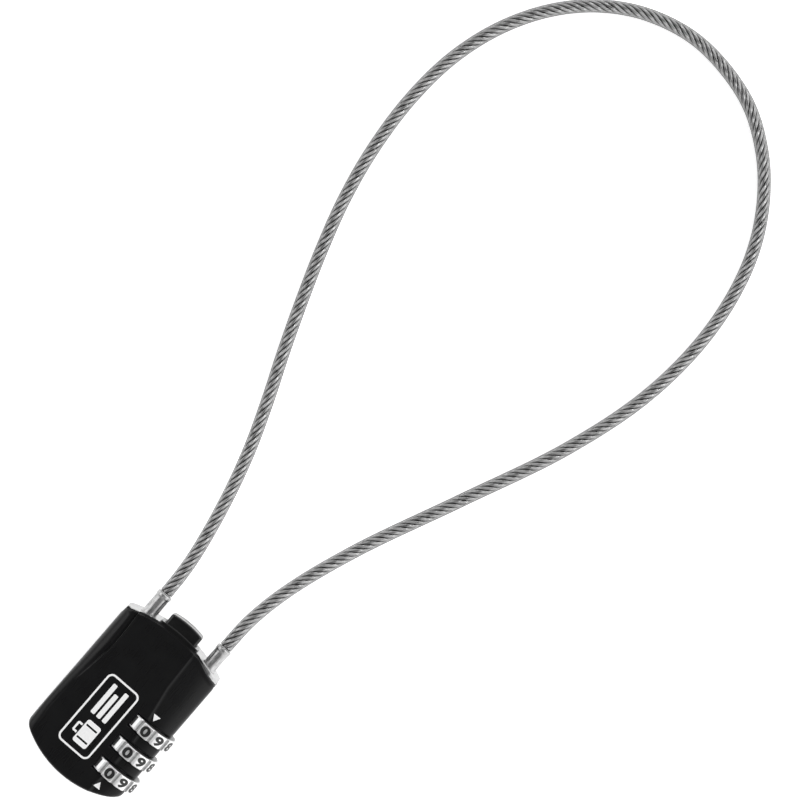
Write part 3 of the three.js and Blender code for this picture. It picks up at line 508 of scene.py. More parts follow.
def clear_plastic():
    """A clear jacket: light goes straight through, and its skin shines."""
    look = Look("clear_jacket", 0.0, "UV")
    look.colour(look.ramp(look.noise(0.6, 3), [(0.3, 0.07), (0.7, 0.12)]))
    look.roughness(look.noise(0.8, 4), [(0.3, 0.10), (0.7, 0.22)])
    look.raise_by(look.noise(0.9, 3), 0.012)
    look.shader.inputs["Specular IOR Level"].default_value = 0.25
    facing = look.add("LayerWeight", {"Blend": 0.35}).outputs["Facing"]
    through = look.ramp(facing, [(0.0, 0.92), (0.25, 0.82), (0.5, 0.5), (0.8, 0.22)])
    clear = look.add("BsdfTransparent", {"Color": through}).outputs[0]
    share = look.ramp(facing, [(0.0, 0.04), (0.5, 0.08), (0.8, 0.2), (1.0, 0.4)])
    mixed = look.add("MixShader", {"Fac": share, 1: clear, 2: look.shader.outputs[0]}).outputs[0]
    look.feed(look.tree.nodes["Material Output"].inputs["Surface"], mixed)
    return look.material


def print_ink(name, dark, light, rough):
    look = Look(name)
    look.colour(look.ramp(look.noise(2.2, 5, 0.7), [(0.3, dark), (0.7, light)]))
    look.roughness(look.noise(4.0, 3), [(0.3, rough * 0.8), (0.7, rough * 1.2)])
    look.raise_by(look.noise(7.0, 3), 0.006)
    return look.material


CASE_BLACK = black_paint()
BUTTON_BLACK = black_plastic()
CAST_ZINC = satin_metal("cast_zinc", 0.42, 0.62, 0.34, (1, 1, 1), 2.6, 0.014).material
DIAL_METAL = dial_metal()
STEEL = satin_metal("steel", 0.26, 0.68, 0.34, (1, 0.12, 1), 4.0, 0.02).material
SPRING_STEEL = satin_metal("spring_steel", 0.30, 0.46, 0.3, (1, 1, 1), 5.0, 0.006).material
WIRE_ROPE = strand_metal()
CLEAR_JACKET = clear_plastic()
PRINT_WHITE = print_ink("print_white", 0.88, 0.97, 0.5)
DIGIT_BLACK = print_ink("digit_black", 0.006, 0.016, 0.45)


def dress(made, look, body=None, replaces=()):
    """Gives a piece its material, its body and the CAD nodes it stands for."""
    made.data.materials.clear()
    made.data.materials.append(look)
    if body is not None:
        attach(made, body)
    if replaces:
        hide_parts(*replaces)
    return made


def bend(piece, start):
    """Bakes a piece's placement into its mesh; start, in millimetres, is not used."""
    start = np.array(start) * MM
    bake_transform(piece)


# ---- cable

def cable_line(step):
    """Points along the cable's centre line, evenly spaced, and their running length."""
    p = np.array(CABLE_ROUTE, float)
    p = np.vstack([2 * p[0] - p[1], p, 2 * p[-1] - p[-2]])
    line = []
    for i in range(1, len(p) - 2):
        a, b, c, d = p[i - 1 : i + 3]
        ab, bc, cd = (math.sqrt(np.linalg.norm(v)) for v in (b - a, c - b, d - c))
        leave = ((b - a) / ab - (c - a) / (ab + bc) + (c - b) / bc) * bc
        arrive = ((c - b) / bc - (d - b) / (bc + cd) + (d - c) / cd) * bc
        t = np.linspace(0, 1, 60, endpoint=False)[:, None]
        square = -3 * b + 3 * c - 2 * leave - arrive
        cube = 2 * b - 2 * c + leave + arrive
        line.append(b + leave * t + square * t**2 + cube * t**3)
    line = np.vstack([*line, p[-2]])
    along = np.concatenate([[0], np.cumsum(np.linalg.norm(np.diff(line, axis=0), axis=1))])
    at = np.linspace(0, along[-1], round(along[-1] / step) + 1)
    return np.column_stack([np.interp(at, along, line[:, k]) for k in range(3)]), at


def carried_frames(line):
    """Two directions across the line at each point, carried along it without twist."""
    ahead = np.gradient(line, axis=0)
    ahead /= np.linalg.norm(ahead, axis=1)[:, None]
    side = np.cross(ahead[0], (0, 0, 1.0))
    sides = []
    for t in ahead:
        side = side - t * (side @ t)
        side = side / np.linalg.norm(side)
        sides.append(side)
    sides = np.array(sides)
    return sides, np.cross(ahead, sides), ahead


def tube_along(line, radius, sides, at, start_at=None):
    """Points, faces and UVs of a tube: U once round it from start_at, V its length in millimetres."""
    first, second, ahead = carried_frames(line)
    if start_at is not None:
        first = start_at - ahead * np.sum(start_at * ahead, axis=1)[:, None]
        first /= np.linalg.norm(first, axis=1)[:, None]
        second = np.cross(ahead, first)
    angles = np.arange(sides) / sides * TURN
    ring = first[:, None] * np.cos(angles)[:, None] + second[:, None] * np.sin(angles)[:, None]
    points = (line[:, None] + ring * radius).reshape(-1, 3)
    faces = grid_faces(len(line), sides, closed=True)
    uvs = []
    for low_v, high_v in zip(at, at[1:]):
        for c in range(sides):
            low, high = c / sides, (c + 1) / sides
            uvs.append(((low, low_v), (high, low_v), (high, high_v), (low, high_v)))
    last = len(points) - sides
    faces += [tuple(reversed(range(sides))), tuple(range(last, last + sides))]
    uvs += [((0, 0),) * sides, ((0, 0),) * sides]
    return points, faces, uvs


def tubes_object(name, tubes):
    """One mesh object from tubes, each its points, faces and UVs."""
    points, faces, uvs = [], [], []
    for some_points, some_faces, some_uvs in tubes:
        faces += [tuple(i + len(points) for i in face) for face in some_faces]
        points += list(some_points)
        uvs += some_uvs
    return mesh_object(name, points, faces, TUBE_SMOOTH, uvs)


def cable():
    """Six strands laid round a core in a clear jacket; it bends between the two cable ends."""
    line, at = cable_line(0.7)
    jacket = tubes_object("cable_clear_jacket", [tube_along(line, JACKET_RADIUS, 32, at)])
    fine, fine_at = cable_line(0.4)
    first, second, _ = carried_frames(fine)
    tubes = []
    for k in range(STRANDS):
        phase = fine_at / STRAND_LAY * TURN + k / STRANDS * TURN
        around = first * np.cos(phase)[:, None] + second * np.sin(phase)[:, None]
        tubes.append(tube_along(fine + around * STRAND_HELIX, STRAND_RADIUS, 14, fine_at, -around))
    tubes.append(tube_along(fine, STRAND_RADIUS, 10, fine_at))
    strands = tubes_object("cable_rope_strands", tubes)
    dress(jacket, CLEAR_JACKET, replaces=["cable_jacket"])
    dress(strands, WIRE_ROPE, replaces=["cable_rope"])
    for piece in (jacket, strands):
        bend(piece, BEND_START)


cable()


# ---- front case

def arch_y(x):
    """The case's top outline."""
    return HALF_HEIGHT - TOP_RADIUS + math.sqrt(TOP_RADIUS**2 - x * x)


def bottom_corner():
    """The centre of the bottom's right corner arc."""
    reach = BOTTOM_RADIUS - CORNER_RADIUS
    x = HALF_WIDTH - CORNER_RADIUS
    return x, BOTTOM_RADIUS - HALF_HEIGHT - math.sqrt(reach**2 - x * x)


CORNER_X, CORNER_Y = bottom_corner()
CORNER_CUT = CORNER_RADIUS * math.sqrt(0.5)


def bottom_y(x):
    """The case's bottom outline: a wide arc with a small arc at each corner."""
    x = abs(x)
    centre_y = BOTTOM_RADIUS - HALF_HEIGHT
    share = CORNER_X / (BOTTOM_RADIUS - CORNER_RADIUS)
    if x <= share * BOTTOM_RADIUS:
        return centre_y - math.sqrt(BOTTOM_RADIUS**2 - x * x)
    return CORNER_Y - math.sqrt(max(0.0, CORNER_RADIUS**2 - (x - CORNER_X) ** 2))


def side_x(y):
    """Half the case's width at y, following the corner arc to its middle."""
    if y >= CORNER_Y:
        return HALF_WIDTH
    drop = min(CORNER_Y - y, CORNER_CUT)
    return CORNER_X + math.sqrt(CORNER_RADIUS**2 - drop**2)


LEFT_CREASE = [
    (20.5, -10.25), (17.1, -10.16), (13.7, -9.97), (8.4, -9.87), (2.8, -10.55),
    (-3.0, -11.43), (-10.1, -11.7), (-15.9, -11.1), (-21, -10.6),
]
RIGHT_CREASE = [
    (20.5, 4.95), (18.4, 5.05), (10.1, 5.34), (2.5, 6.51), (-3.6, 7.29), (-10, 7.29),
    (-18.4, 6.9), (-21, 6.8),
]


def along_crease(crease, y):
    ys = [point[0] for point in reversed(crease)]
    xs = [point[1] for point in reversed(crease)]
    return float(np.interp(y, ys, xs))


def panel_z(x):
    """The front panel's height, slightly domed."""
    return 12.225 - 0.0024 * (x - 1.5) ** 2


def relief(y):
    """How much lower the left flank lies than the panel's edge."""
    return FLANK_FALL * smoothstep(y, -8, 17)


def groove_depth(y):
    """The depth of the groove between the left flank and the panel."""
    return FLANK_GROOVE * smoothstep(y, -2, 12)


def bezier(a, b, c, d, t):
    s = 1 - t
    return s**3 * a + 3 * s * s * t * b + 3 * s * t * t * c + t**3 * d


FLANK_SHARES = (0.06, 0.12, 0.2, 0.3, 0.4, 0.5, 0.6, 0.7, 0.78, 0.86, 0.93, 1)


def front_columns():
    """The front's columns from left to right, as (region, share) pairs."""
    columns = [("left", t) for t in reversed(FLANK_SHARES)]
    columns += [("step", t) for t in (0, 0.15, 0.3, 0.5, 0.7, 0.85, 0.95, 1)]
    columns += [("panel", t) for t in np.linspace(0, 1, 25)[1:-1]]
    columns += [("lip", inset) for inset in (*RIM_ROWS, 0)]
    columns += [("pocket", t) for t in (0.08, 0.3, 0.65, 0.9, 1)]
    columns += [("ridge", t) for t in (0.15, 0.5, 0.85, 1)]
    columns += [("right", t) for t in FLANK_SHARES]
    return columns


def flank_point(shape_x, shape_z, t, side):
    """(x, z, outward x, outward z) on a flank's curve; side is 1 on the right, -1 on the left."""
    dx = bezier(*shape_x, t + 0.01) - bezier(*shape_x, t - 0.01)
    dz = bezier(*shape_z, t + 0.01) - bezier(*shape_z, t - 0.01)
    size = math.hypot(dx, dz)
    return bezier(*shape_x, t), bezier(*shape_z, t), -side * dz / size, side * dx / size


def front_section(column, y, half):
    """(x, z, outward x, outward z) of one column of the front where the case is half wide."""
    region, t = column
    left = along_crease(LEFT_CREASE, y)
    right = along_crease(RIGHT_CREASE, y)
    if region == "left":
        foot = left - STEP_WIDTH
        shape_z = (PANEL_FOOT_Z, 11.5, 10.7, SIDE_Z)
        x, z, nx, nz = flank_point((foot, foot - 1.7, -half, -half), shape_z, t, -1)
        return x, z - relief(y) - groove_depth(y) * (1 - smoothstep(t, 0, 0.2)), nx, nz
    if region == "step":
        low = relief(y) + groove_depth(y)
        top = panel_z(left) - 0.02
        z = PANEL_FOOT_Z - low + (top - PANEL_FOOT_Z + low) * smoothstep(t, 0, 1)
        return left - STEP_WIDTH * (1 - t), z, -0.25, 0.97
    if region in ("panel", "lip", "pocket"):
        if region == "panel":
            x = left + (POCKET_LEFT_X - left) * t
        elif region == "lip":
            x = POCKET_LEFT_X - t
        else:
            x = POCKET_LEFT_X + (right - POCKET_LEFT_X) * t
        return x, panel_z(x), 0.0, 1.0
    edge = panel_z(right)
    width = 0.35 + 0.25 * smoothstep(-y, -18, 2)
    if region == "ridge":
        return right + width * t, edge - RIDGE_FALL * width * t * t, 0.2, 0.98
    foot = right + width
    low = edge - RIDGE_FALL * width
    return flank_point((foot, foot + 2.7, half, half), (low, low - 0.45, 11.3, SIDE_Z), t, 1)


def rim_drop(inset, width, height):
    """How far a rounded rim of that width and height has fallen at an inset."""
    if inset >= width:
        return 0.0
    return height * (1 - math.sqrt(max(0.0, 1 - (1 - inset / width) ** 2)))


def front_rows():
    """The front's rows from bottom to top, as (block, share or y or inset) pairs."""
    edges = []
    for centre in reversed(DIAL_CENTRES):
        low, high = centre - POCKET_HALF, centre + POCKET_HALF
        edges += [low - inset for inset in RIM_ROWS] + [low, centre, high]
        edges += [high + inset for inset in reversed(RIM_ROWS)]
    rows = [("low", d) for d in (0, 0.02, 0.07, 0.16, 0.28, 0.42, 0.56, 0.7, 1.0)]
    rows += [("below", t) for t in (0.75, 0.5, 0.25)]
    rows += [("straight", STRAIGHT_LOW)] + [("straight", y) for y in edges]
    rows += [("straight", y) for y in (2.4, 3.2, STRAIGHT_HIGH)]
    rows += [("above", t) for t in np.linspace(0, 1, 17)[1:]]
    rows += [("high", d) for d in (1.0, 0.55, 0.45, 0.35, 0)]
    return rows


def end_cut(column, y):
    """How far below the arch the front's top edge lies."""
    x, z, _, _ = front_section(column, y, HALF_WIDTH)
    flank = 0.55 * smoothstep(x, 6.5, 10.5)
    wall = smoothstep(-z, -9.6, -8.4)
    return flank + (PLATE_DEPTH - flank) * wall


def undercut(column, x):
    """Draws the wall's inside back from a dial slot's left edge, so that the dials turn freely."""
    start = POCKET_LEFT_X - UNDERCUT_WIDTH
    if column[0] not in ("panel", "lip") or x < start:
        return x
    return start + (x - start) * (UNDERCUT_X - start) / (POCKET_LEFT_X - start)


def front_point(column, row):
    """(outer point, inner point) of the front at one column and row."""
    block, value = row
    if block == "straight":
        x, z, nx, nz = front_section(column, value, HALF_WIDTH)
        return (x, value, z), (undercut(column, x - WALL * nx), value, z - WALL * nz)
    if block in ("below", "low"):
        end = -18.0
        for _ in range(6):
            x_end = front_section(column, end, side_x(max(end, CORNER_Y - CORNER_CUT)))[0]
            end = bottom_y(x_end)
        if block == "low":
            y = end + value
        else:
            y = STRAIGHT_LOW + (end + 1.0 - STRAIGHT_LOW) * value
        x, z, nx, nz = front_section(column, y, side_x(y))
        z -= rim_drop(y - end, 0.7, 1.2)
        inner_y = max(y, end + WALL)
        return (x, y, z), (x - WALL * nx, inner_y, z - WALL * nz)
    end = 19.5
    for _ in range(4):
        x_end = front_section(column, end, HALF_WIDTH)[0]
        end = arch_y(x_end) - end_cut(column, end)
    if block == "high":
        y = end - value
    else:
        y = STRAIGHT_HIGH + (end - 1.0 - STRAIGHT_HIGH) * value
    x, z, nx, nz = front_section(column, y, HALF_WIDTH)
    depth = min(1.65, max(0.2, 0.3 + (z - 9.2) * 0.6))
    chamfer = max(0.0, 1 - (end - y) / 0.45)
    z_out = z - depth * chamfer
    inner_y = min(y, end - 1.7)
    inner_z = min(z - WALL * nz, z_out)
    return (x, y, z_out), (x - WALL * nx, inner_y, min(inner_z, z - depth))


def in_pocket(x, y):
    """Whether a point of the front lies in a dial slot."""
    return x > POCKET_LEFT_X - 1e-6 and any(abs(y - c) < POCKET_HALF - 1e-6 for c in DIAL_CENTRES)


def pocket_edge(x, y):
    """How far a point lies from the nearest dial slot's edge."""
    best = 9.0
    for centre in DIAL_CENTRES:
        away_y = max(0.0, abs(y - centre) - POCKET_HALF)
        away_x = max(0.0, POCKET_LEFT_X - x)
        best = min(best, math.hypot(away_x, away_y))
    return best


def front_case():
    """The front and the walls under its rim, down to the parting line, with the dial slots open."""
    columns, rows = front_columns(), front_rows()
    count_r, count_c = len(rows), len(columns)
    outer, inner = [], []
    for row in rows:
        for column in columns:
            out, ins = front_point(column, row)
            if row[0] == "straight":
                fall = rim_drop(pocket_edge(out[0], out[1]), SLOT_RIM, SLOT_RIM)
                nx = (out[0] - ins[0]) / WALL
                nz = (out[2] - ins[2]) / WALL
                out = (out[0] - fall * nx, out[1], out[2] - fall * nz)
            outer.append(out)
            inner.append(ins)
    faces = []
    for r in range(count_r - 1):
        slotted = rows[r][0] == rows[r + 1][0] == "straight"
        for c in range(count_c - 1):
            corner = r * count_c + c
            quad = (corner, corner + 1, corner + count_c + 1, corner + count_c)
            centre = np.mean([outer[i] for i in quad], axis=0)
            if not (slotted and in_pocket(centre[0], centre[1])):
                faces.append(quad)
    path = [r * count_c for r in reversed(range(count_r))]
    path += list(range(1, count_c))
    path += [(r + 1) * count_c - 1 for r in range(1, count_r)]
    previous = path
    for share in (0.12, 0.35, 0.65, 1.0):
        level = []
        for place in path:
            x, y, top_z = outer[place]
            z = top_z + (PARTING_Z - top_z) * share
            level.append(len(outer))
            outer.append((x, y, z))
            inner.append(inside_wall(outer[place], z))
        for k in range(len(path) - 1):
            y = (outer[level[k]][1] + outer[level[k + 1]][1]) / 2
            on_right = path[k] % count_c == path[k + 1] % count_c == count_c - 1
            if not (on_right and in_pocket(HALF_WIDTH, y)):
                faces.append((previous[k], level[k], level[k + 1], previous[k + 1]))
        previous = level
    for place in path:
        inner[place] = inside_wall(outer[place], outer[place][2])
    return mesh_object("front_case_shell", *shell(outer, inner, faces), 38)


def inside_wall(point, z):
    """The wall's inner point opposite an outer one, both seen from above."""
    x, y, _ = point
    if y < CORNER_Y and abs(x) < CORNER_X:
        centre = BOTTOM_RADIUS - HALF_HEIGHT
        share = (BOTTOM_RADIUS - WALL) / math.hypot(x, y - centre)
        return (x * share, centre + (y - centre) * share, z)
    if y < CORNER_Y:
        cx = math.copysign(CORNER_X, x)
        share = (CORNER_RADIUS - WALL) / CORNER_RADIUS
        return (cx + (x - cx) * share, CORNER_Y + (y - CORNER_Y) * share, z)
    return (x - math.copysign(WALL, x), y, z)


case = dress(front_case(), CASE_BLACK, "housing", ["front_case"])
FRONT_SURFACE = BVHTree.FromPolygons(
    [v.co[:] for v in case.data.vertices], [p.vertices[:] for p in case.data.polygons]
)


def front_z(x, y):
    """The front's height at a point, in millimetres."""
    hit = FRONT_SURFACE.ray_cast(Vector((x * MM, y * MM, 0.05)), Vector((0, 0, -1)))[0]
    return hit.z / MM if hit else 12.0


# ---- rear cover

SIDE_SHARES = [0.03, 0.06] + [0.1 + 0.8 * k / 20 for k in range(21)] + [0.95]
ARCH_STEPS = 26


def case_ring(inset):
    """The cover's outline from above, drawn in by inset: its top arch, then on round by the left."""
    half = HALF_WIDTH - inset
    radius = TOP_RADIUS - inset
    centre = HALF_HEIGHT - TOP_RADIUS - COVER_DROP
    angle = math.asin(half / radius)
    ring = arc(0, centre, radius, math.pi / 2 - angle, 2 * angle, ARCH_STEPS)
    side_top = ring[-1][1]
    sides = [CORNER_Y + (side_top - CORNER_Y) * (1 - share) for share in SIDE_SHARES]
    corner = CORNER_RADIUS - inset
    meet = math.asin(CORNER_X / (BOTTOM_RADIUS - CORNER_RADIUS))
    down, quarter = 1.5 * math.pi, math.pi / 2
    ring += [(-half, y) for y in sides]
    ring += arc(-CORNER_X, CORNER_Y, corner, math.pi, quarter - meet, 6)
    ring += arc(0, BOTTOM_RADIUS - HALF_HEIGHT, BOTTOM_RADIUS - inset, down - meet, 2 * meet, 24, 1)
    ring += arc(CORNER_X, CORNER_Y, corner, down + meet, quarter - meet, 6)
    return ring + [(half, y) for y in reversed(sides)]


def filled(made, loops, z):
    """Fills the space between closed loops at one height, in a bmesh."""
    edges = []
    for loop in loops:
        verts = [made.verts.new((x, y, z)) for x, y in loop]
        edges += [made.edges.new((verts[k - 1], verts[k])) for k in range(len(verts))]
    bmesh.ops.triangle_fill(made, edges=edges, use_beauty=True)


def ring_walls(made, levels):
    """Joins rings of the same length, each a (loop, z) pair, by quads."""
    rows = [[made.verts.new((x, y, z)) for x, y in loop] for loop, z in levels]
    for first, second in zip(rows, rows[1:]):
        for k in range(len(first)):
            made.faces.new((first[k - 1], first[k], second[k], second[k - 1]))


def rear_cover():
    """The cover: a rounded back with three screw pockets, and a rim up to the parting line."""
    made = bmesh.new()
    edge = case_ring(0)
    back = case_ring(0.62)
    rim = [(back, 0)]
    for a in (0, 0.26, 0.52, 0.79, 1.05, 1.31, math.pi / 2):
        rim.append((case_ring(COVER_EDGE * (1 - math.sin(a))), COVER_EDGE * (1 - math.cos(a))))
    ring_walls(made, rim + [(edge, COVER_FLOOR_Z)])
    pocket = ((0.12, 0), (0.04, 0.04), (0, 0.12), (0, SCREW_POCKET_DEPTH))
    filled(made, [back] + [circle(x, y, SCREW_POCKET_RADIUS + 0.12) for x, y in SCREW_PLACES], 0)
    for x, y in SCREW_PLACES:
        walls = [(circle(x, y, SCREW_POCKET_RADIUS + wider), z) for wider, z in pocket]
        ring_walls(made, walls + [(circle(x, y, 0.4), SCREW_POCKET_DEPTH)])
    top_z = PARTING_Z - 0.1
    lip, inner = case_ring(0.08), case_ring(WALL)
    levels = [
        (edge, COVER_FLOOR_Z), (edge, 2.0), (edge, 3.0), (edge, top_z - 0.08), (lip, top_z),
        (inner, top_z), (inner, COVER_FLOOR_Z),
    ]
    rows = [[made.verts.new((x, y, z)) for x, y in loop] for loop, z in levels]
    for level, (first, second) in enumerate(zip(rows, rows[1:])):
        for a in range(ARCH_STEPS + 1, len(edge)):
            b = (a + 1) % len(edge)
            y = (edge[a][1] + edge[b][1]) / 2
            if level >= 2 and edge[a][0] > 13 and in_pocket(HALF_WIDTH, y):
                continue
            made.faces.new((first[a], first[b], second[b], second[a]))
    filled(made, [edge], COVER_FLOOR_Z)
    bmesh.ops.remove_doubles(made, verts=made.verts, dist=1e-3)
    return bmesh_object("rear_cover_shell", made, smooth_angle=40)


dress(rear_cover(), CASE_BLACK, "housing", ["rear_cover"])


def turned_by(angle, x, y):
    return x * math.cos(angle) - y * math.sin(angle), x * math.sin(angle) + y * math.cos(angle)


def case_screw(name, x, y):
    """A flat-headed screw with a cross recess, its head facing down in its pocket."""
    cross = [(0.2, 0.2), (0.2, 0.85), (-0.2, 0.85)]
    for _ in range(3):
        cross += [(-cy, cx) for cx, cy in cross[-3:]]
    cross = [turned_by(math.radians(17 * (x + y)), cx, cy) for cx, cy in cross]
    foot = [(cx * 0.72, cy * 0.72) for cx, cy in cross]
    head, shank = SCREW_HEAD_RADIUS, SCREW_SHANK_RADIUS
    profile = [
        (head - 0.3, 0.25), (head - 0.12, 0.29), (head - 0.03, 0.38), (head, 0.5), (head, 1.15),
        (shank, 1.15), (shank, 7.8), (0.1, 8.4),
    ]
    made = bmesh.new()
    filled(made, [circle(0, 0, head - 0.3), cross], 0.25)
    ring_walls(made, [(circle(0, 0, radius), z) for radius, z in profile])
    ring_walls(made, [(cross, 0.25), (foot, 0.78)])
    filled(made, [foot], 0.78)
    bmesh.ops.remove_doubles(made, verts=made.verts, dist=1e-3)
    return bmesh_object(name, made, lambda px, py, pz: (px + x, py + y, pz))


for k, (x, y) in enumerate(SCREW_PLACES, 1):
    dress(case_screw(f"cover_screw_{k}", x, y), STEEL, "housing", [f"case_screw_{k}"])


# ---- end plate, bezel and button

def on_end(out):
    """Lays a shape drawn in X and Z on the case's arched end, out being its middle's height there."""
    return lambda px, py, pz: (px, arch_y(px) + out + pz, py)


def end_plate():
    """The zinc plate across the top: two cable bores and a notch for the button's bezel."""
    half, high = PLATE_HALF, PLATE_HIGH_Z
    top = [
        (half - 0.1, 8.3), (half - 0.5, 9.3), (half - 1.4, 10.0), (half - 2.6, high),
        (NOTCH_HALF, high), (NOTCH_HALF, NOTCH_Z), (-NOTCH_HALF, NOTCH_Z), (-NOTCH_HALF, high),
        (-half + 2.6, high), (-half + 1.2, 10.0), (-half + 0.4, 9.0), (-half + 0.1, 7.9),
    ]
    foot = [(x, z) for x, z in rounded_rectangle(-half, half, PLATE_LOW_Z, high, 0.9) if z < 5]
    loops = [top + foot]
    for x in (ANCHOR_X, PLUG_X):
        loops.append(circle(x, CABLE_END_Z, FERRULE_RADIUS + BORE_GAP)[::-1])
    made = outlines_mesh(loops, PLATE_THICK / 2, 0.16)
    slice_along(made, 0, -half, half, 0.5)
    pieces = [bmesh_object("end_plate", made, on_end(-PLATE_THICK / 2))]
    for x, radius, foot_y in ((ANCHOR_X, 2.9, 10.5), (PLUG_X, 2.7, 7.3)):
        pieces.append(tube_y("boss", x, CABLE_END_Z, FERRULE_RADIUS + 0.15, radius, foot_y, 18.0))
    return join_objects("end_plate_zinc", pieces)


def tube_y(name, x, z, bore, radius, low, high):
    """A thick tube along Y with softened rims."""
    r = 0.15
    profile = [
        (bore, low + r), (bore + r, low), (radius - r, low), (radius, low + r), (radius, high - r),
        (radius - r, high), (bore + r, high), (bore, high - r), (bore, low + r),
    ]
    points = []
    sides = 48
    for radius_k, y in profile:
        points += [(x + cx, y, z + cz) for cx, cz in circle(0, 0, radius_k, sides)]
    return mesh_object(name, points, grid_faces(len(profile), sides, closed=True))


def bezel():
    window = rounded_rectangle(-4.5, 4.5, 5.2, 9.9, 0.7)
    outer = rounded_rectangle(-BEZEL_HALF, BEZEL_HALF, 4.45, 10.4, 0.35)
    made = outlines_mesh([outer, window[::-1]], 1.75, 0.14)
    slice_along(made, 0, -BEZEL_HALF, BEZEL_HALF, 0.5)
    return bmesh_object("button_bezel_frame", made, on_end(-1.25))


def push_button():
    """An arched thumb button: its end is slightly dished, and its rims are rounded."""
    half, low, high = BUTTON_HALF, BUTTON_LOW_Z, BUTTON_HIGH_Z
    reach = BUTTON_HEIGHT / 2
    made = outlines_mesh([rounded_rectangle(-half, half, low, high, 0.75)], reach, 0.42, 5)
    slice_along(made, 0, -half, half, 0.35)
    slice_along(made, 1, low, high, 0.45)

    def place(x, z, depth):
        share = (depth + reach) / BUTTON_HEIGHT
        arch = BUTTON_TOP_Y - BUTTON_ARCH + math.sqrt(BUTTON_ARCH**2 - x * x)
        hollow = math.exp(-(x / 2.6) ** 2 - ((z - 7.55) / 1.3) ** 2)
        dish = 0.12 * hollow * smoothstep(depth, reach - 0.9, reach)
        return x, BUTTON_FOOT_Y + (arch - BUTTON_FOOT_Y) * share - dish, z

    pieces = [bmesh_object("head", made, place)]
    blocks = (((-5, 5, 4.8, 10.2, 0.5), 0.5, 16.6), ((-1.6, 1.6, 6, 9, 0.3), 3.8, 12.5))
    for sides, half_depth, y in blocks:
        block = outlines_mesh([rounded_rectangle(*sides)], half_depth, 0.1)
        pieces.append(bmesh_object("block", block, lambda px, pz, depth, y=y: (px, y + depth, pz)))
    return join_objects("push_button_cap", pieces)


dress(end_plate(), CAST_ZINC, "housing", ["lock_frame"])
dress(bezel(), BUTTON_BLACK, "housing", ["button_bezel"])
dress(push_button(), BUTTON_BLACK, "button", ["push_button"])


# ---- cable ends

def crimped(top_y):
    """Shallow flats pressed along a ferrule, fading out before its lip."""
    def radius_at(radius, y, angle):
        if not CRIMP_FOOT_Y < y < top_y - 0.9:
            return radius
        fade = smoothstep(-y, -(top_y - 1.0), -(top_y - 1.9))
        depth = CRIMP_DEPTH * smoothstep(y, CRIMP_FOOT_Y, 20.6) * fade
        return radius - depth * max(0.0, math.cos(FLATS * angle)) ** 0.6
    return radius_at


def ferrule_profile(top_y, lip=0.1):
    """(radius, y) up a ferrule's sleeve, over its lip and in to the cable."""
    r = FERRULE_RADIUS
    body = [(r, y) for y in np.linspace(CRIMP_FOOT_Y - 0.1, top_y - 1.0, 14)]
    return body + [
        (r + lip * 0.4, top_y - 0.93), (r + lip * 0.9, top_y - 0.85), (r + lip, top_y - 0.7),
        (r + lip, top_y - 0.3), (r + lip * 0.7, top_y - 0.14), (r + lip * 0.1, top_y - 0.03),
        (r - 0.12, top_y), (1.46, top_y), (1.4, top_y - 0.12),
    ]


def anchor_end():
    r = FERRULE_RADIUS
    profile = [(0.05, ANCHOR_FOOT_Y), (r - 0.25, ANCHOR_FOOT_Y), (r, ANCHOR_FOOT_Y + 0.3)]
    profile += ferrule_profile(ANCHOR_TOP_Y)
    return turned("anchor_ferrule_sleeve", profile, (ANCHOR_X, CABLE_END_Z), 96, crimped(ANCHOR_TOP_Y))


def plug_end():
    r = FERRULE_RADIUS
    profile = [
        (0.05, 10.9), (0.75, 10.9), (1.12, 11.15), (1.3, 11.6), (1.3, 12.5), (1.22, 12.6), (0.85, 12.6),
        (0.85, 13.8), (1.22, 13.8), (1.3, 13.9), (1.3, 16.62), (1.35, 16.7), (r - 0.12, 16.7), (r, 16.85),
    ]
    profile += ferrule_profile(PLUG_TOP_Y)
    return turned("locking_plug_pin", profile, (PLUG_X, CABLE_END_Z), 96, crimped(PLUG_TOP_Y))


dress(anchor_end(), STEEL, "housing", ["anchor_ferrule"])
dress(plug_end(), STEEL, "plug", ["locking_plug"])


# ---- dials

def dial_radius(share):
    """The dial's radius at a share of one digit's step from the middle of its pad."""
    away = abs(share)
    if away <= PAD_SHARE:
        return DIAL_RADIUS
    if away <= PAD_SHARE + PAD_EDGE:
        edge = (away - PAD_SHARE) / PAD_EDGE
        return DIAL_RADIUS - 0.16 * (1 - math.sqrt(max(0.0, 1 - edge * edge)))
    scoop = (0.5 - away) / (0.5 - PAD_SHARE - PAD_EDGE)
    return VALLEY_RADIUS + 0.35 * scoop * scoop


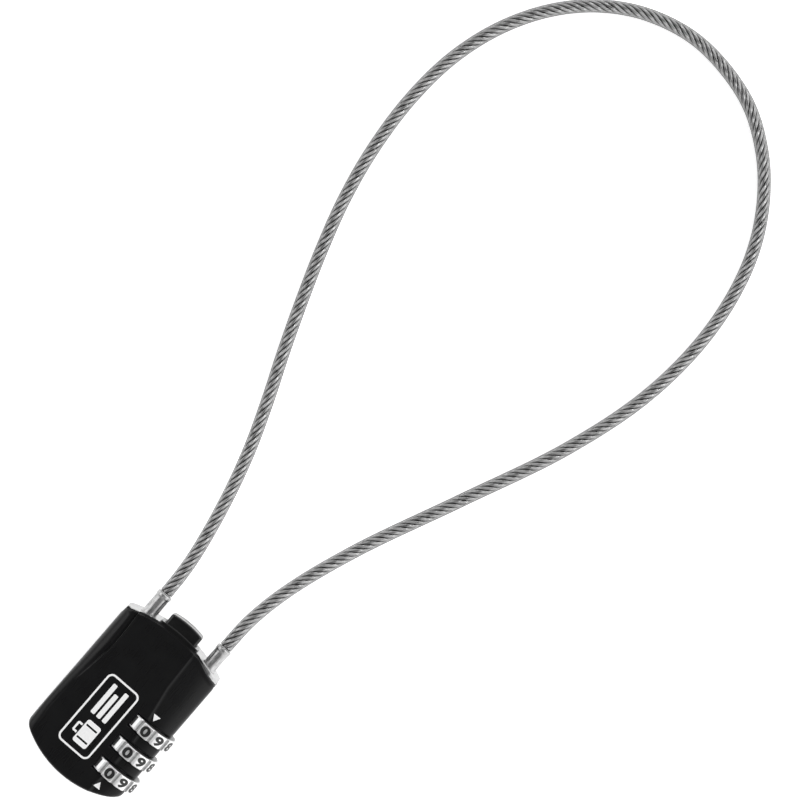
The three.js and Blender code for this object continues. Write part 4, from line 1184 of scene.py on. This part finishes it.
def dial_ring(centre_y):
    """A dial's metal: a pad for each number, valleys between them, worn rims and a bore."""
    half_shares = [0.08, 0.16, 0.24, 0.29, 0.325, 0.338, 0.352, 0.362, 0.37, 0.385, 0.41, 0.44, 0.47]
    shares = sorted([-s for s in half_shares] + [0] + half_shares + [0.5])
    first = math.pi / 2 + DIAL_REST_TURN
    angles = [(first + (k + s) * TURN / DIGITS, dial_radius(s)) for k in range(DIGITS) for s in shares]
    half = DIAL_HALF
    low_half = [
        ("bore", 0.0, -half + 0.2), ("bore", 0.2, -half), ("face", 0.42, -half), ("rim", 0.20, -half),
        ("rim", 0.085, -half + 0.06), ("rim", 0.02, -half + 0.16), ("rim", 0, -half + 0.3),
        ("rim", 0, -0.8),
    ]
    section = low_half + [("rim", 0, 0)] + [(kind, inset, -y) for kind, inset, y in reversed(low_half)]
    points = []
    for kind, inset, y in section:
        for angle, radius in angles:
            r = DIAL_BORE + inset if kind == "bore" else radius - inset
            points.append((DIAL_X + r * math.cos(angle), centre_y + y, DIAL_Z + r * math.sin(angle)))
    faces = grid_faces(len(section), len(angles), closed=True)
    last = (len(section) - 1) * len(angles)
    for k in range(len(angles)):
        d = (k + 1) % len(angles)
        faces.append((last + k, last + d, d, k))
    return points, [tuple(reversed(f)) for f in faces]


def extent(made):
    """(low x, high x, low y, high y) of a bmesh."""
    xs = [v.co.x for v in made.verts]
    ys = [v.co.y for v in made.verts]
    return min(xs), max(xs), min(ys), max(ys)


def dial(index, centre_y):
    """A dial's ring and its ten numbers, all as wide as its 0, bent round it."""
    body = f"dial_{index}"
    points, faces = dial_ring(centre_y)
    dress(mesh_object(f"{body}_ring", points, faces, 32), DIAL_METAL, body, [body])
    digits = []
    for number in range(DIGITS):
        made = outlines_mesh(None, 0.03, text=str(number))
        low_x, high_x, low_y, high_y = extent(made)
        if number == 0:
            wide = DIGIT_WIDTH / (high_x - low_x)
        tall = DIGIT_HEIGHT / (high_y - low_y)
        for v in made.verts:
            v.co.x = (v.co.x - (low_x + high_x) / 2) * wide
            v.co.y = (v.co.y - (low_y + high_y) / 2) * tall
        slice_along(made, 0, -1.2, 1.2, 0.3)
        turn = math.pi / 2 + DIAL_REST_TURN + number * TURN / DIGITS

        def place(x, y, z, turn=turn):
            angle = turn - x / DIAL_RADIUS
            r = DIAL_RADIUS - 0.012 + z
            return DIAL_X + r * math.cos(angle), centre_y + y, DIAL_Z + r * math.sin(angle)

        digits.append(bmesh_object(f"digit_{number}", made, place))
    dress(join_objects(f"{body}_digits", digits), DIGIT_BLACK, body)


for k, centre in enumerate(DIAL_CENTRES, 1):
    dial(k, centre)


# ---- prints on the front

BADGE_X = -1.95
PRINT_SINK = 0.01


def on_front(x, y, z):
    return x, y, front_z(x, y) - PRINT_SINK + z


def printed(name, shapes, step=0.6):
    """White shapes printed on the front, each a list of closed loops seen from above."""
    pieces = []
    for k, loops in enumerate(shapes):
        made = outlines_mesh(loops, 0.025)
        low_x, high_x, low_y, high_y = extent(made)
        slice_along(made, 0, low_x, high_x, step)
        slice_along(made, 1, low_y, high_y, step)
        pieces.append(bmesh_object(f"print_{k}", made, on_front))
    return dress(join_objects(name, pieces), PRINT_WHITE, "housing")


def index_marks():
    down = [(7.1, 3.75), (8.0, 2.2), (8.9, 3.75)]
    up = [(7.1, -17.35), (8.9, -17.35), (8.0, -15.8)]
    return printed("index_marks", [[down[::-1]], [up]])


def badge():
    """A plain badge: a rounded frame round a suitcase and three bars, drawn to be read along Y."""
    frame_outer = rounded_rectangle(-6.4, 2.5, -14.4, 4.7, 1.5)
    frame_inner = rounded_rectangle(-5.95, 2.05, -13.95, 4.25, 1.05)[::-1]

    def placed(loop):
        return [(BADGE_X - t, s) for s, t in loop]

    suitcase = [placed(rounded_rectangle(-12.6, -6.6, -2.5, 1.3, 0.6))]
    for s in (-11.5, -8.15):
        suitcase.append(placed(rounded_rectangle(s, s + 0.45, -2.1, 0.9, 0.1, 3))[::-1])
    handle = [
        (-10.9, 1.55), (-10.4, 1.55), (-10.4, 2.3), (-8.8, 2.3), (-8.8, 1.55), (-8.3, 1.55),
        (-8.3, 2.5), (-8.6, 2.8), (-10.6, 2.8), (-10.9, 2.5),
    ]
    bars = [(-5.2, 3.1, 1.1, 2.2), (-5.2, 1.4, -0.55, 0.55), (-5.2, 3.1, -2.2, -1.1)]
    shapes = [[frame_outer, frame_inner], suitcase, [placed(handle)]]
    shapes += [[placed(rounded_rectangle(*bar, 0.25, 4))] for bar in bars]
    return printed("badge_print", shapes)


index_marks()
badge()


# ---- reset button and springs

def reset_button():
    profile = [
        (0.05, -19.9), (0.35, -19.98), (0.8, -19.98), (0.95, -19.9), (1.0, -19.75), (1.0, -18.6),
        (1.7, -18.6), (1.7, -17.9), (0.6, -17.9), (0.6, -12.3), (0.5, -12.2), (0.05, -12.2),
    ]
    return turned("reset_button_pin", profile, (RESET_X, RESET_Z), 48)


def coil_spring(node, foot, radius, wire, length, turns):
    """A coil along Y, standing in for a CAD node."""
    turn = np.linspace(0, turns * TURN, turns * 24 + 1)
    rise = wire + (length - 2 * wire) * turn / turn[-1]
    line = np.stack([radius * np.cos(turn), rise, radius * np.sin(turn)], axis=1) + np.array(foot)
    made = tubes_object(node + "_coil", [tube_along(line, wire, 10, turn)])
    dress(made, SPRING_STEEL, replaces=[node])
    bend(made, foot)


dress(reset_button(), BUTTON_BLACK, "reset", ["reset_button"])
coil_spring("button_spring", (-1.3, 3.38, 6.2), 1.35, 0.2, 4.25, 5)
coil_spring("reset_spring", (RESET_X, -17.85, RESET_Z), 1.2, 0.15, 4.2, 6)


# ---- pieces that stay from the CAD

KEPT = {
    "dial_carriage": CAST_ZINC, "release_slider": STEEL, "spindle": STEEL, "anchor_pin": STEEL,
    "dial_hub_1": BUTTON_BLACK, "dial_hub_2": BUTTON_BLACK, "dial_hub_3": BUTTON_BLACK,
    "detent_spring": SPRING_STEEL, "latch_clip": SPRING_STEEL, "plug_spring": SPRING_STEEL,
}
for node, look in KEPT.items():
    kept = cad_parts[node]
    kept.data.materials.clear()
    kept.data.materials.append(look)


# ---- stage and light

SKY_BY_HEIGHT = [(0.0, 0.75), (0.25, 0.8), (0.70, 0.75), (0.93, 0.16), (1.0, 0.10)]
SKY_BRIGHTER_TOWARD = (0.42, 0.34, 0)
SKY_SHARE = 0.85
SKY_STRENGTH = 1.55
FLOOR_HALF = 3
FLOOR_DROP = 0.00005
FLOOR_COLOUR = (0.9, 0.9, 0.9, 1)
FLOOR_ROUGHNESS = 0.9
FLOOR_GLOW = 0.62
# name, place, the point it faces, size and power of each light, in metres and watts
LIGHTS = [
    ("far", (-0.25, 0.75, 0.55), (0, 0.02, 0), 0.06, 0.5),
    ("right", (0.45, 0.45, 0.55), (0, 0.08, 0), 0.2, 0.8),
    ("left", (-0.6, -0.1, 0.38), (0, 0, 0), 0.45, 0.9),
]


def sky(scene):
    """A white tent: bright all round, brighter towards one side, and darker straight above."""
    scene.world = bpy.data.worlds.new("world")
    scene.world.use_nodes = True
    nodes = Nodes(scene.world.node_tree)
    where = nodes.add("TexCoord", {}).outputs["Generated"]
    shade = nodes.ramp(nodes.axes(where)["Z"], SKY_BY_HEIGHT)
    inputs = {0: where, 1: SKY_BRIGHTER_TOWARD}
    toward = nodes.add("VectorMath", inputs, operation="DOT_PRODUCT").outputs["Value"]
    inputs = {0: shade, "Scale": nodes.math("ADD", toward, SKY_SHARE)}
    shaded = nodes.add("VectorMath", inputs, operation="SCALE").outputs[0]
    background = nodes.tree.nodes["Background"].inputs
    nodes.feed(background["Color"], shaded)
    background["Strength"].default_value = SKY_STRENGTH


def white_floor(scene):
    mesh = bpy.data.meshes.new("floor")
    corners = [(-1, -1), (1, -1), (1, 1), (-1, 1)]
    mesh.from_pydata([(x * FLOOR_HALF, y * FLOOR_HALF, 0) for x, y in corners], [], [(0, 1, 2, 3)])
    floor = bpy.data.objects.new("floor", mesh)
    scene.collection.objects.link(floor)
    floor.location.z = -FLOOR_DROP
    look = bpy.data.materials.new("floor")
    look.use_nodes = True
    values = {
        "Base Color": FLOOR_COLOUR, "Roughness": FLOOR_ROUGHNESS,
        "Emission Color": (1, 1, 1, 1), "Emission Strength": FLOOR_GLOW,
    }
    for socket, value in values.items():
        look.node_tree.nodes["Principled BSDF"].inputs[socket].default_value = value
    mesh.materials.append(look)


def studio():
    scene = bpy.context.scene
    scene.view_settings.view_transform = "Standard"
    sky(scene)
    white_floor(scene)
    for name, place, aim, size, power in LIGHTS:
        data = bpy.data.lights.new(name, "AREA")
        data.size = size
        data.energy = power
        lamp = bpy.data.objects.new(name, data)
        scene.collection.objects.link(lamp)
        lamp.location = place
        lamp.rotation_mode = "QUATERNION"
        lamp.rotation_quaternion = (Vector(aim) - Vector(place)).to_track_quat("-Z", "Y")


studio()
